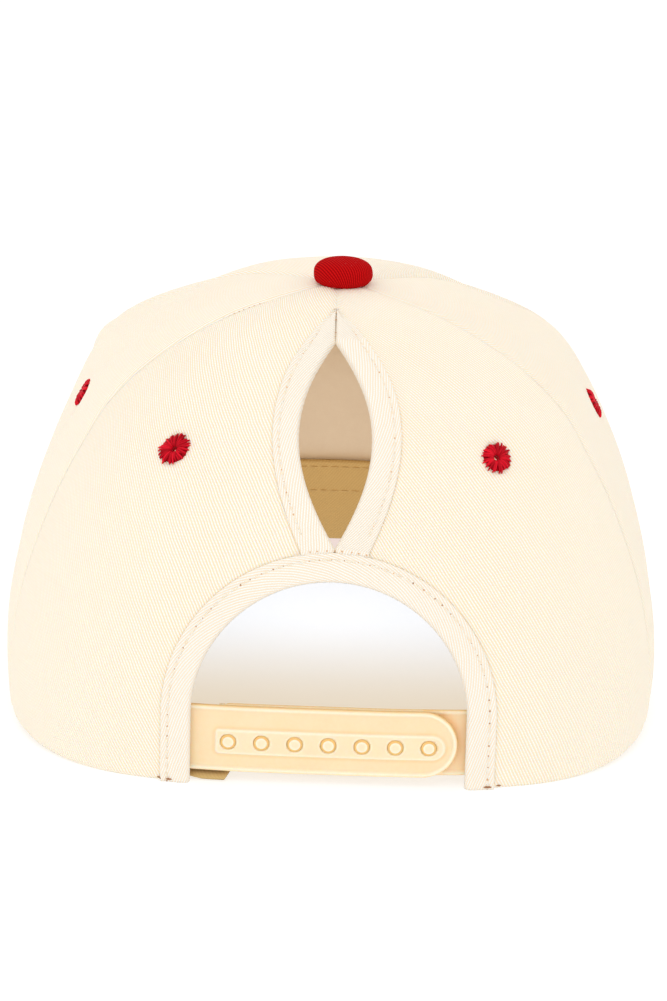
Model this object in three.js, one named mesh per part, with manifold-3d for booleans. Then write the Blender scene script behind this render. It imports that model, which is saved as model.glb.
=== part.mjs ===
// Five-panel ponytail baseball cap: twill crown with bound openings at the back, snap strap, curved brim.
// Millimetres. +Z up, +Y toward the brim, so the back of the cap looks toward -Y and +X is on the
// right of someone who looks at that back. The cap stands on its hem and on the sides of its brim.

import * as THREE from 'three';
import Module from 'manifold-3d';
import { mergeVertices } from 'three/addons/utils/BufferGeometryUtils.js';

const wasm = await Module();
wasm.setup();

// Crown, outside sizes
const crownWidth = 186; // across the widest level
const crownBack = 86; // from the button's axis to the back of the hem
const crownFront = 88; // from the button's axis to the front of the hem
const crownHeight = 115; // hem level to the cloth under the button
const cloth = 1.6; // twill with its seam allowances
const seamGap = 0.3; // between two panels along a seam
const frontHemLift = 8.6; // the middle of the front hem is lifted by the brim
const sideHemLift = 2.9;
const flatBack = 0.3; // square of the sine of half the turn over which the back hem stays down
const frontPuff = 3.4; // the stiff front stands higher behind the button
const puffStart = 0.46; // section share where that starts
const levelHem = 0.06; // up to this section share the wall's cut edge turns level

// Crown sections from the hem, along 0, to the button, along 1. Rise is a share of the height, width of
// the half width, back and front of the two depths. Square is the corner exponent: 2 is an ellipse.
const crownSections = [
  { along: 0.0, rise: 0.0, width: 0.97, back: 1.0, front: 1.0, squareBack: 3.4, squareFront: 2.6 },
  { along: 0.12, rise: 0.13, width: 0.98, back: 1.0, front: 1.0, squareBack: 3.4, squareFront: 2.6 },
  { along: 0.25, rise: 0.266, width: 0.968, back: 0.99, front: 0.995, squareBack: 3.2, squareFront: 2.7 },
  { along: 0.38, rise: 0.412, width: 0.93, back: 0.962, front: 0.98, squareBack: 3.0, squareFront: 2.9 },
  { along: 0.5, rise: 0.551, width: 0.87, back: 0.905, front: 0.945, squareBack: 2.8, squareFront: 3.2 },
  { along: 0.61, rise: 0.676, width: 0.79, back: 0.825, front: 0.925, squareBack: 2.7, squareFront: 3.5 },
  { along: 0.72, rise: 0.79, width: 0.697, back: 0.705, front: 0.77, squareBack: 2.5, squareFront: 3.2 },
  { along: 0.82, rise: 0.887, width: 0.54, back: 0.54, front: 0.585, squareBack: 2.3, squareFront: 2.15 },
  { along: 0.91, rise: 0.957, width: 0.325, back: 0.335, front: 0.4, squareBack: 2.1, squareFront: 2.3 },
  { along: 1.0, rise: 1.0, width: 0.034, back: 0.036, front: 0.036, squareBack: 2.0, squareFront: 2.0 },
];

// Soft folds and dents in the cloth. Turn is in degrees round the button's axis from +X, along is the
// section share; each runs from its first place to its second. Reach is a share of the crown's height and
// depth a share of the cloth; below 0 it bulges out.
const folds = [
  { name: 'left crease', turn: -172, along: 0.29, toTurn: -161, toAlong: 0.08, reach: 0.044, depth: 1.0 },
  { name: 'left dent', turn: -184, along: 0.55, toTurn: -180, toAlong: 0.66, reach: 0.08, depth: 0.9 },
  { name: 'right fold', turn: -74, along: 0.88, toTurn: -52, toAlong: 0.66, reach: 0.035, depth: 0.45 },
  { name: 'left fold', turn: -107, along: 0.88, toTurn: -130, toAlong: 0.7, reach: 0.035, depth: 0.4 },
  { name: 'right hollow', turn: -12, along: 0.3, toTurn: -2, toAlong: 0.5, reach: 0.12, depth: 0.6 },
  { name: 'left shoulder', turn: 156, along: 0.64, toTurn: 150, toAlong: 0.7, reach: 0.09, depth: -1.25 },
  { name: 'front dimple', turn: 62, along: 0.5, toTurn: 74, toAlong: 0.66, reach: 0.11, depth: 0.8 },
];

// Seams between the panels, in degrees from +X; the left side mirrors the right
const backSeamTurn = -28;
const frontSeamTurn = 34;

// Openings at the back: an arch over the strap and, above it, a lens for the ponytail
const archHalfWidth = 36.7;
const archLegs = 19.5; // straight part of the arch above the hem
const archCrown = 37.2; // height of the arch's half ellipse over its legs
const bindingWidth = 7.6;
const bindingProud = 0.7; // the folded tape stands this much off the cloth, on both faces
const lensStart = 1.1; // cloth between the arch binding and the lens, along the centre back
const lensLength = 63.7;
const lensHalfWidth = 9.8;
const lensTail = 14.6; // the two tapes run on side by side above the lens
const tapeTip = 1; // half the width of the two tapes at their tip
const tapeSpread = 0.17; // share of the tape's bow at which it leaves the arch binding
const lensLean = 0.92; // below 1 the lens is widest a little under its middle

// Button and eyelets
const buttonRadius = 8.4;
const buttonHeight = 6.2;
const buttonStem = 2.2;
const buttonPlate = 6; // radius of the plate inside the crown
const buttonPlateThickness = 1.2;
const plateDish = 0.4; // the plate's rim stands this much off the cloth
const eyeletRadius = 4.5;
const eyeletHole = 0.9;
const eyeletProud = 0.55;
const eyeletBackTurn = -55.2;
const eyeletBackAlong = 0.665;
const eyeletSideTurn = 4;
const eyeletSideAlong = 0.624;

// Snap strap: the left strap lies outside with its holes, the right one inside with its studs
const strapWidth = 19;
const strapThickness = 1.3;
const strapLift = 2.6; // lower edge of the strap above the hem
const strapRoot = 10; // length sewn in behind the binding
const strapGap = 0.3;
const strapSlack = 1.5; // the left strap's tip stands this much farther out than its root
const strapTipClear = 2.1; // from the left strap's round tip to the right binding
const strapRidge = 0.45; // height of the rim and of the raised track
const strapRim = 1.5;
const ridgeSlope = 0.3;
const trackWidth = 6.2;
const trackTipClear = 4.4; // from the track to the strap's tip
const trackMargin = 3.4; // from the end snaps to the ends of the track
const snapCount = 7;
const snapPitch = 8.9;
const snapHoleRadius = 1.9;
const snapEndMargin = 4.5; // from the last stud to the hidden end of the right strap
const studRadius = 1.55;
const studHeight = 0.7; // above the track

// Sweatband and brim
const sweatbandHeight = 28;
const sweatbandThickness = 1.4;
const sweatbandLift = 0.4; // its lower edge above the hem
const sweatbandFit = 0.55; // clearance between the band and the cloth
const sweatbandEnd = 11; // the left end shows this far past the binding
const sweatbandEndHeight = 15;
const sweatbandStep = 14; // length over which the band steps in behind the strap
const fit = 0.3; // clearance between pieces that are sewn face to face
const brimLength = 70;
const brimThickness = 3.4;
const brimTurn = 24; // the brim's root starts this many degrees in front of the side
const brimSideLength = 14; // length of the brim's side edge from its root
const brimFlare = 1.6; // the side edge ends this much wider than the root
const brimArch = 15; // height of the middle of the brim's front edge over its sides
const brimArchPower = 2.6; // a higher power keeps more of the sides down
const brimEase = 0.35; // how much sooner than evenly the brim takes its edge's height
const brimSquare = 2.35; // corner exponent of the front edge
const brimEdgeTaper = 1.1; // the stitched edge is this much thinner

const materials = {
  twill: { color: 0xfdf3e1, roughness: 0.95, metalness: 0 },
  binding: { color: 0xfaf0dc, roughness: 0.95, metalness: 0 },
  red: { color: 0xb3101a, roughness: 0.85, metalness: 0 },
  redThread: { color: 0xc81428, roughness: 0.6, metalness: 0 },
  tan: { color: 0xc4a05f, roughness: 0.9, metalness: 0 },
  snap: { color: 0xfde4b4, roughness: 0.45, metalness: 0 },
};

const radians = THREE.MathUtils.degToRad;
const smooth = (value) => THREE.MathUtils.smoothstep(value, 0, 1);
const sectionKeys = ['rise', 'width', 'back', 'front', 'squareBack', 'squareFront'];
const sectionCurve = new THREE.CubicInterpolant(
  crownSections.map((row) => row.along),
  crownSections.flatMap((row) => sectionKeys.map((key) => row[key])),
  sectionKeys.length,
);

function sectionAt(along) {
  const values = sectionCurve.evaluate(THREE.MathUtils.clamp(along, 0, 1));
  return Object.fromEntries(sectionKeys.map((key, i) => [key, values[i]]));
}

// A point of the smooth crown, before its folds
function domePoint(along, turn) {
  const row = sectionAt(along);
  const cos = Math.cos(turn);
  const sin = Math.sin(turn);
  const square = sin < 0 ? row.squareBack : row.squareFront;
  const reach = (Math.abs(cos) ** square + Math.abs(sin) ** square) ** (-1 / square);
  const depth = sin < 0 ? crownBack * row.back : crownFront * row.front;
  const toFront = Math.max(sin, 0);
  const toSide = THREE.MathUtils.smoothstep(cos * cos, flatBack, 1) * (1 - toFront);
  const open = 1 - row.rise;
  const puffShare = THREE.MathUtils.clamp((along - puffStart) / (1 - puffStart), 0, 1);
  const puff = frontPuff * toFront * Math.sin(Math.PI * puffShare);
  const lift = frontHemLift * toFront ** 2 * open + sideHemLift * toSide * open ** 2;
  return new THREE.Vector3(
    (crownWidth / 2) * row.width * reach * cos,
    depth * reach * sin,
    crownHeight * row.rise + lift + puff,
  );
}

// The face normal of the smooth crown; at the hem it is level, so that the hem is cut level
function domeNormal(along, turn) {
  const step = 0.002;
  const up = domePoint(Math.min(along + step, 1), turn).sub(domePoint(Math.max(along - step, 0), turn));
  const round = domePoint(along, turn + step).sub(domePoint(along, turn - step));
  const normal = round.cross(up).normalize();
  normal.z *= smooth(along / levelHem);
  return normal.normalize();
}

// How far the folds press the cloth in at a point of the smooth crown
function foldDepth(point) {
  let depth = 0;
  for (const fold of folds) {
    const from = domePoint(fold.along, radians(fold.turn));
    const to = domePoint(fold.toAlong, radians(fold.toTurn));
    const line = new THREE.Line3(from, to);
    const share = line.closestPointToPointParameter(point, true);
    const away = line.at(share, new THREE.Vector3()).distanceTo(point);
    const fade = (1 + Math.sin(Math.PI * share)) / 2;
    depth += cloth * fold.depth * fade * Math.exp(-((away / (fold.reach * crownHeight)) ** 2));
  }
  return depth;
}

// A point of the crown's cloth, inset from its outer face
function crownPoint(along, turn, inset = 0) {
  const point = domePoint(along, turn);
  const depth = inset + foldDepth(point);
  return point.addScaledVector(domeNormal(along, turn), -depth);
}

// Length up the cloth along the centre back, and back again from a length to its section share
const backLengths = [0];
const backSteps = 400;
for (let i = 1; i <= backSteps; i += 1) {
  const here = domePoint(i / backSteps, -Math.PI / 2);
  const before = domePoint((i - 1) / backSteps, -Math.PI / 2);
  backLengths.push(backLengths[i - 1] + here.distanceTo(before));
}

function alongAtLength(length) {
  const last = backLengths.findIndex((value) => value >= length);
  if (last < 1) return last === 0 ? 0 : 1;
  const share = (length - backLengths[last - 1]) / (backLengths[last] - backLengths[last - 1]);
  return (last - 1 + share) / backSteps;
}

// The section share at a height above the hem
function alongAtHeight(height) {
  let low = 0;
  let high = 1;
  for (let i = 0; i < 40; i += 1) {
    const middle = (low + high) / 2;
    if (sectionAt(middle).rise * crownHeight < height) low = middle;
    else high = middle;
  }
  return low;
}

// The turn at which a level of the crown's back is x from the centre
function turnAtX(along, x) {
  let low = -Math.PI / 2;
  let high = 0;
  for (let i = 0; i < 40; i += 1) {
    const middle = (low + high) / 2;
    if (domePoint(along, middle).x < Math.abs(x)) low = middle;
    else high = middle;
  }
  return x < 0 ? -Math.PI - low : low;
}

// A point of the back from its distance off the centre and its length up the cloth
function backPoint(x, length, inset = 0) {
  const along = alongAtLength(length);
  return crownPoint(along, turnAtX(along, x), inset);
}

// Outlines of the openings, in distance off the centre and length up the cloth
const archTop = archLegs + archCrown;
const lensBottom = archTop + bindingWidth + lensStart;
const lensTop = lensBottom + lensLength;
const tapeTop = lensTop + lensTail;

function archHalf(length, width) {
  if (length <= archLegs) return archHalfWidth + width;
  const share = (length - archLegs) / (archCrown + width);
  return (archHalfWidth + width) * Math.sqrt(Math.max(1 - share * share, 0));
}

function archHeight(x, width) {
  return archLegs + (archCrown + width) * Math.sqrt(1 - (x / (archHalfWidth + width)) ** 2);
}

const lensShare = (length) => THREE.MathUtils.clamp((length - lensBottom) / lensLength, 0, 1);
const lensInner = (length) => lensHalfWidth * Math.sin(Math.PI * lensShare(length) ** lensLean);

// The tape's outer edge is one bow from the arch binding to the tape's tip
function lensOuter(length) {
  const start = archTop + bindingWidth;
  const share = THREE.MathUtils.clamp((length - start) / (tapeTop - start), 0, 1);
  const bow = Math.sin(Math.PI * THREE.MathUtils.lerp(tapeSpread, 1, share));
  return Math.max((lensHalfWidth + bindingWidth) * bow, tapeTip);
}

// Closed solid between an outer and an inner sheet of points, rows by columns
function sheetSolid(rows, columns, pointAt) {
  const positions = [];
  const index = [];
  const at = (face, i, j) => (face * rows + i) * columns + j;
  for (const face of [0, 1]) {
    for (let i = 0; i < rows; i += 1) {
      for (let j = 0; j < columns; j += 1) positions.push(...pointAt(face, i, j).toArray());
    }
  }
  const quad = (a, b, c, d) => index.push(a, b, c, a, c, d);
  for (let i = 0; i + 1 < rows; i += 1) {
    for (let j = 0; j + 1 < columns; j += 1) {
      quad(at(0, i, j), at(0, i, j + 1), at(0, i + 1, j + 1), at(0, i + 1, j));
      quad(at(1, i, j), at(1, i + 1, j), at(1, i + 1, j + 1), at(1, i, j + 1));
    }
    quad(at(0, i, 0), at(0, i + 1, 0), at(1, i + 1, 0), at(1, i, 0));
    quad(at(0, i + 1, columns - 1), at(0, i, columns - 1), at(1, i, columns - 1), at(1, i + 1, columns - 1));
  }
  for (let j = 0; j + 1 < columns; j += 1) {
    quad(at(0, 0, j + 1), at(0, 0, j), at(1, 0, j), at(1, 0, j + 1));
    quad(at(0, rows - 1, j), at(0, rows - 1, j + 1), at(1, rows - 1, j + 1), at(1, rows - 1, j));
  }
  const geometry = new THREE.BufferGeometry();
  geometry.setAttribute('position', new THREE.Float32BufferAttribute(positions, 3));
  geometry.setIndex(index);
  return facingOut(geometry);
}

// Turns the faces out if the enclosed volume comes out negative
function facingOut(geometry) {
  const position = geometry.attributes.position;
  const index = geometry.index.array;
  const corner = (i) => new THREE.Vector3().fromBufferAttribute(position, index[i]);
  let volume = 0;
  for (let i = 0; i < index.length; i += 3) volume += corner(i).dot(corner(i + 1).cross(corner(i + 2)));
  if (volume < 0) {
    for (let i = 0; i < index.length; i += 3) [index[i], index[i + 1]] = [index[i + 1], index[i]];
  }
  return geometry;
}

function solidOf(geometry) {
  const bare = geometry.clone();
  for (const name of ['normal', 'uv']) bare.deleteAttribute(name);
  const merged = mergeVertices(bare, 1e-4);
  const vertProperties = new Float32Array(merged.attributes.position.array);
  const triVerts = new Uint32Array(merged.index.array);
  return new wasm.Manifold(new wasm.Mesh({ numProp: 3, vertProperties, triVerts }));
}

function geometryOf(solid) {
  const mesh = solid.getMesh();
  const geometry = new THREE.BufferGeometry();
  geometry.setAttribute('position', new THREE.BufferAttribute(new Float32Array(mesh.vertProperties), 3));
  geometry.setIndex(new THREE.BufferAttribute(new Uint32Array(mesh.triVerts), 1));
  return geometry;
}

function piece(name, geometry, finish) {
  geometry.deleteAttribute('uv');
  geometry.computeVertexNormals();
  const mesh = new THREE.Mesh(geometry, new THREE.MeshStandardMaterial(finish));
  mesh.name = name;
  return mesh;
}

// Lays a shape that was made round +Z on the crown, its axis along the cloth's normal there
function onCrown(geometry, along, turn, inset) {
  const normal = domeNormal(along, turn);
  const turnTo = new THREE.Quaternion().setFromUnitVectors(new THREE.Vector3(0, 0, 1), normal);
  geometry.applyQuaternion(turnTo);
  return geometry.translate(...crownPoint(along, turn, inset).toArray());
}

function withEyeletHole(geometry, along, turn) {
  const drill = new THREE.CylinderGeometry(eyeletRadius + fit, eyeletRadius + fit, cloth * 6, 20);
  drill.rotateX(Math.PI / 2);
  onCrown(drill, along, turn, cloth / 2);
  return geometryOf(solidOf(geometry).subtract(solidOf(drill)));
}

// A panel between two seams: the front or a side
function wedgePanel(fromTurn, toTurn, columns, rows) {
  const gap = seamGap / 2;
  return sheetSolid(rows, columns, (face, i, j) => {
    const along = i / (rows - 1);
    const span = domePoint(along, 0).x;
    const trim = Math.min(gap / span, 0.3);
    const turn = THREE.MathUtils.lerp(fromTurn + trim, toTurn - trim, j / (columns - 1));
    return crownPoint(along, turn, face * cloth);
  });
}

// Rows of a back panel: close together along the curve of the arch, wider above it
function backRows() {
  const lengths = [0, archLegs / 2];
  const archSteps = 10;
  const outerRise = archCrown + bindingWidth + fit;
  for (let i = 0; i <= archSteps; i += 1) {
    const angle = (i / archSteps) * (Math.PI / 2 - 0.2);
    lengths.push(archLegs + outerRise * Math.sin(angle));
  }
  const total = backLengths[backSteps];
  const last = lengths[lengths.length - 1];
  const tapeSteps = 11;
  for (let i = 1; i <= tapeSteps; i += 1) lengths.push(last + ((tapeTop - last) * i) / tapeSteps);
  return [...lengths, tapeTop + 2 * fit, (tapeTop + total) / 2, total];
}

function backPanel(side) {
  const lengths = backRows();
  const columns = 11;
  return sheetSolid(lengths.length, columns, (face, i, j) => {
    const level = lengths[i];
    const along = alongAtLength(level);
    const tape = level > tapeTop ? seamGap / 2 : lensOuter(level) + fit;
    const edge = Math.max(archHalf(level, bindingWidth + fit), tape);
    const span = domePoint(along, 0).x;
    const fromTurn = turnAtX(along, edge);
    const toTurn = radians(backSeamTurn) - Math.min(seamGap / 2 / span, 0.3);
    const share = (j / (columns - 1)) ** 1.25;
    const turn = THREE.MathUtils.lerp(fromTurn, Math.max(toTurn, fromTurn + 0.05), share);
    return crownPoint(along, side > 0 ? turn : -Math.PI - turn, face * cloth);
  });
}

// Section of the folded tape: share of its width from the opening, and how far it stands off the cloth
const tapeSection = [
  { across: 0, off: -0.35 },
  { across: 0.08, off: 0.75 },
  { across: 0.3, off: 1 },
  { across: 0.95, off: 0.9 },
  { across: 1, off: 0.5 },
];

function tapePoint(face, column, inner, outer) {
  const row = tapeSection[column];
  const off = bindingProud * row.off;
  const x = THREE.MathUtils.lerp(inner.x, outer.x, row.across);
  const length = THREE.MathUtils.lerp(inner.y, outer.y, row.across);
  return backPoint(x, length, face === 0 ? -off : cloth + off);
}

function archBinding() {
  const legSteps = 3;
  const crownSteps = 28;
  const stations = [];
  for (let i = 0; i < legSteps; i += 1) stations.push({ leg: i / legSteps, angle: 0 });
  for (let i = 0; i <= crownSteps; i += 1) stations.push({ leg: 1, angle: (Math.PI * i) / crownSteps });
  for (let i = legSteps - 1; i >= 0; i -= 1) stations.push({ leg: i / legSteps, angle: Math.PI });
  const edge = (station, width) => new THREE.Vector2(
    (archHalfWidth + width) * Math.cos(station.angle),
    archLegs * station.leg + (archCrown + width) * Math.sin(station.angle),
  );
  return sheetSolid(stations.length, tapeSection.length, (face, i, j) => (
    tapePoint(face, j, edge(stations[i], 0), edge(stations[i], bindingWidth))
  ));
}

function lensBinding(side) {
  const steps = 22;
  return sheetSolid(steps + 1, tapeSection.length, (face, i, j) => {
    const share = i / steps;
    const outerStart = archTop + bindingWidth;
    const corner = lensOuter(outerStart);
    const cornerLength = archHeight(corner, bindingWidth + fit);
    const outerLength = THREE.MathUtils.lerp(cornerLength, tapeTop, share);
    const innerLength = THREE.MathUtils.lerp(outerStart + fit, tapeTop, share);
    const outerX = lensOuter(outerLength);
    const innerX = Math.max(lensInner(innerLength), seamGap / 2);
    const inner = new THREE.Vector2(side * innerX, innerLength);
    const outer = new THREE.Vector2(side * outerX, outerLength);
    return tapePoint(face, j, inner, outer);
  });
}

// The strap's root passes behind the binding with its raised rim
const strapDepth = cloth + bindingProud + strapRidge + strapGap;

// How far the strap's outer face lies inside the crown's face at x: it leans out to its tip
function strapInset(x) {
  const share = THREE.MathUtils.clamp((x + archHalfWidth) / (2 * archHalfWidth), 0, 1);
  return strapDepth - strapSlack * share;
}

// Places along the strap, in distance off the centre
const strapTip = archHalfWidth - strapTipClear;
const strapBend = strapTip - strapWidth / 2; // where the round tip starts
const trackEnd = strapTip - trackTipClear;
const lastSnap = trackEnd - trackMargin;
const firstSnap = lastSnap - (snapCount - 1) * snapPitch;
const trackStart = firstSnap - trackMargin;
const hiddenEnd = firstSnap - snapEndMargin;
const snapPlaces = Array.from({ length: snapCount }, (_, i) => firstSnap + i * snapPitch);

// Levels across the strap: height above its lower edge, and whether the rim or the track is raised there
const trackLow = (strapWidth - trackWidth) / 2;
const trackHigh = (strapWidth + trackWidth) / 2;
const strapLevels = [
  { at: 0, rim: 1, track: 0 },
  { at: strapRim, rim: 1, track: 0 },
  { at: strapRim + ridgeSlope, rim: 0, track: 0 },
  { at: trackLow - ridgeSlope, rim: 0, track: 0 },
  { at: trackLow, rim: 0, track: 1 },
  { at: trackHigh, rim: 0, track: 1 },
  { at: trackHigh + ridgeSlope, rim: 0, track: 0 },
  { at: strapWidth - strapRim - ridgeSlope, rim: 0, track: 0 },
  { at: strapWidth - strapRim, rim: 1, track: 0 },
  { at: strapWidth, rim: 1, track: 0 },
];

// Stations along the left strap: even steps, the start of the track, and closer steps round the tip
function strapStations() {
  const root = -archHalfWidth - strapRoot;
  const steps = 14;
  const tipSteps = 6;
  const tipAngle = Math.PI / 2 - 0.12;
  const stations = [trackStart - ridgeSlope, trackStart];
  for (let i = 0; i <= steps; i += 1) stations.push(THREE.MathUtils.lerp(root, strapBend, i / steps));
  for (let i = 1; i <= tipSteps; i += 1) {
    stations.push(strapBend + (strapWidth / 2) * Math.sin((i / tipSteps) * tipAngle));
  }
  return stations.sort((a, b) => a - b);
}

function leftStrap() {
  const stations = strapStations();
  let solid = solidOf(sheetSolid(stations.length, strapLevels.length, (face, i, j) => {
    const x = stations[i];
    const level = strapLevels[j];
    const past = Math.max(x - strapBend, 0) / (strapWidth / 2);
    const squeeze = Math.sqrt(1 - past * past);
    const onTrack = x >= trackStart && x <= trackEnd ? level.track : 0;
    const onTip = x > trackEnd ? 1 : 0;
    const relief = strapRidge * Math.max(level.rim, onTrack, onTip);
    const height = strapLift + strapWidth / 2 + (level.at - strapWidth / 2) * squeeze;
    return backPoint(x, height, strapInset(x) + (face === 0 ? -relief : strapThickness));
  }));
  for (const x of snapPlaces) {
    const hole = snapPost(x, snapHoleRadius, -2 * strapThickness, 2 * strapThickness, 16);
    solid = solid.subtract(solidOf(hole));
  }
  return geometryOf(solid);
}

// A post across the strap at x; it reaches from one inset to the other
function snapPost(x, radius, fromInset, toInset, sides) {
  const length = strapLift + strapWidth / 2;
  const along = alongAtLength(length);
  const post = new THREE.CylinderGeometry(radius, radius, toInset - fromInset, sides);
  post.rotateX(Math.PI / 2);
  const middle = strapInset(x) + (fromInset + toInset) / 2;
  return onCrown(post, along, turnAtX(along, x), middle);
}

function rightStrap() {
  const steps = 16;
  const root = archHalfWidth + strapRoot;
  const depth = strapThickness + strapGap;
  const corner = 0.75; // the hidden end is this much narrower
  let solid = solidOf(sheetSolid(steps + 1, 3, (face, i, j) => {
    const x = THREE.MathUtils.lerp(hiddenEnd, root, i / steps);
    const half = (strapWidth / 2) * (i === 0 ? corner : 1);
    const height = strapLift + strapWidth / 2 + half * (j - 1);
    return backPoint(x, height, strapInset(x) + depth + face * strapThickness);
  }));
  for (const x of snapPlaces) {
    const stud = snapPost(x, studRadius, -strapRidge - studHeight, depth + strapThickness / 2, 12);
    solid = solid.add(solidOf(stud));
  }
  return geometryOf(solid);
}

// The band steps in behind the strap roots and the bindings on both sides of the arch
function sweatband() {
  const steps = 50;
  const columns = 4;
  const rightTurn = turnAtX(0, archHalfWidth + fit);
  const leftTurn = Math.PI - turnAtX(0, archHalfWidth - sweatbandEnd);
  const deep = strapDepth + 2 * (strapThickness + strapGap) + sweatbandFit;
  const stepEnd = archHalfWidth + strapRoot + 2 * fit;
  return sheetSolid(steps + 1, columns, (face, i, j) => {
    const turn = THREE.MathUtils.lerp(rightTurn, leftTurn, i / steps);
    const hem = domePoint(0, turn);
    const near = hem.y < 0 ? smooth((stepEnd + sweatbandStep - Math.abs(hem.x)) / sweatbandStep) : 0;
    const inset = THREE.MathUtils.lerp(cloth + sweatbandFit, deep, near);
    const onTab = hem.y < 0 && hem.x < 0 ? smooth((archHalfWidth + bindingWidth + hem.x) / sweatbandEnd) : 0;
    const top = THREE.MathUtils.lerp(sweatbandHeight, sweatbandEndHeight, onTab);
    const height = THREE.MathUtils.lerp(sweatbandLift, top, j / (columns - 1));
    return crownPoint(alongAtHeight(height), turn, inset + face * sweatbandThickness);
  });
}

// The brim leaves the hem square to it and runs to a rounded front edge; its sides come down level
function brimPlan(share, out) {
  const turn = radians(THREE.MathUtils.lerp(brimTurn, 180 - brimTurn, share));
  const root = domePoint(0, turn).addScaledVector(domeNormal(0, turn), fit);
  const corner = domePoint(0, radians(brimTurn));
  const startY = corner.y + brimSideLength;
  const cos = Math.cos(Math.PI * share);
  const sin = Math.sin(Math.PI * share);
  const reach = (Math.abs(cos) ** brimSquare + Math.abs(sin) ** brimSquare) ** (-1 / brimSquare);
  const edge = new THREE.Vector3(
    (corner.x + brimFlare) * reach * cos,
    startY + (crownFront + brimLength - startY) * reach * sin,
    brimArch * sin ** brimArchPower,
  );
  const point = root.clone().lerp(edge, out);
  const ease = out + brimEase * out * (1 - out);
  point.z = THREE.MathUtils.lerp(root.z, edge.z, ease);
  return point;
}

function brim() {
  const steps = 32;
  const rings = [0, 0.3, 0.6, 0.85, 0.97, 1];
  return sheetSolid(steps + 1, rings.length, (face, i, j) => {
    const point = brimPlan(i / steps, rings[j]);
    const atEdge = j === rings.length - 1;
    if (face === 0) point.z += brimThickness - (atEdge ? brimEdgeTaper : 0);
    return point;
  });
}

function button() {
  const base = fit;
  const under = -cloth - fit;
  const outline = [
    [0, buttonHeight],
    [buttonRadius * 0.45, buttonHeight * 0.97],
    [buttonRadius * 0.78, buttonHeight * 0.82],
    [buttonRadius * 0.96, buttonHeight * 0.52],
    [buttonRadius, buttonHeight * 0.25],
    [buttonRadius * 0.93, base],
    [buttonStem, base + plateDish],
    [buttonStem, under],
    [buttonPlate, under - plateDish],
    [buttonPlate, under - plateDish - buttonPlateThickness],
    [0, under - plateDish - buttonPlateThickness],
  ];
  const points = outline.map(([radius, height]) => new THREE.Vector2(radius, height));
  const turned = new THREE.LatheGeometry(points.reverse(), 24);
  return facingOut(turned.rotateX(Math.PI / 2));
}

// Embroidered ring that fills its hole in the cloth and stands a little off both faces
function eyelet(along, turn) {
  const half = cloth / 2 + eyeletProud;
  const middle = (eyeletRadius + eyeletHole) / 2;
  const outline = [
    [eyeletHole, -half * 0.5],
    [middle, -half],
    [eyeletRadius, -half * 0.55],
    [eyeletRadius, half * 0.55],
    [middle, half],
    [eyeletHole, half * 0.5],
    [eyeletHole, -half * 0.5],
  ];
  const points = outline.map(([radius, height]) => new THREE.Vector2(radius, height));
  const ring = new THREE.LatheGeometry(points, 16);
  ring.rotateX(Math.PI / 2);
  return facingOut(onCrown(ring, along, turn, cloth / 2));
}

const cap = new THREE.Group();
const mirrored = (turn) => -Math.PI - turn;
const sideSpan = [radians(backSeamTurn), radians(frontSeamTurn)];
const backEyelet = radians(eyeletBackTurn);
const sideEyelet = radians(eyeletSideTurn);

const frontPanel = wedgePanel(radians(frontSeamTurn), radians(180 - frontSeamTurn), 19, 15);
const rightSide = wedgePanel(sideSpan[0], sideSpan[1], 11, 15);
const leftSide = wedgePanel(mirrored(sideSpan[1]), mirrored(sideSpan[0]), 11, 15);
cap.add(piece('front_panel', frontPanel, materials.twill));
cap.add(piece('side_panel_right', withEyeletHole(rightSide, eyeletSideAlong, sideEyelet), materials.twill));
cap.add(piece('side_panel_left', withEyeletHole(leftSide, eyeletSideAlong, mirrored(sideEyelet)), materials.twill));
cap.add(piece('back_panel_right', withEyeletHole(backPanel(1), eyeletBackAlong, backEyelet), materials.twill));
cap.add(piece('back_panel_left', withEyeletHole(backPanel(-1), eyeletBackAlong, mirrored(backEyelet)), materials.twill));
cap.add(piece('arch_binding', archBinding(), materials.binding));
cap.add(piece('ponytail_binding_right', lensBinding(1), materials.binding));
cap.add(piece('ponytail_binding_left', lensBinding(-1), materials.binding));
cap.add(piece('eyelet_back_right', eyelet(eyeletBackAlong, backEyelet), materials.redThread));
cap.add(piece('eyelet_back_left', eyelet(eyeletBackAlong, mirrored(backEyelet)), materials.redThread));
cap.add(piece('eyelet_side_right', eyelet(eyeletSideAlong, sideEyelet), materials.redThread));
cap.add(piece('eyelet_side_left', eyelet(eyeletSideAlong, mirrored(sideEyelet)), materials.redThread));
cap.add(piece('sweatband', sweatband(), materials.tan));
cap.add(piece('strap_left', leftStrap(), materials.snap));
cap.add(piece('strap_right', rightStrap(), materials.snap));
cap.add(piece('brim', brim(), materials.red));

const buttonPiece = piece('button', button(), materials.red);
buttonPiece.position.z = crownHeight;
cap.add(buttonPiece);

// The origin is under the middle of the whole cap, on the surface that it stands on
const group = new THREE.Group();
group.add(cap);
group.updateMatrixWorld(true);
const bounds = new THREE.Box3().setFromObject(cap, true);
const middle = bounds.getCenter(new THREE.Vector3());
cap.position.set(-middle.x, -middle.y, -bounds.min.z);

export default group;
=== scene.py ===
"""Dresses the solids of a five-panel ponytail cap in twill, folded tape, thread and moulded plastic."""

import math
from functools import partial

import bmesh
import bpy
import numpy as np
from bpy.props import FloatProperty, FloatVectorProperty, IntProperty, PointerProperty
from mathutils import Matrix, Vector


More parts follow.
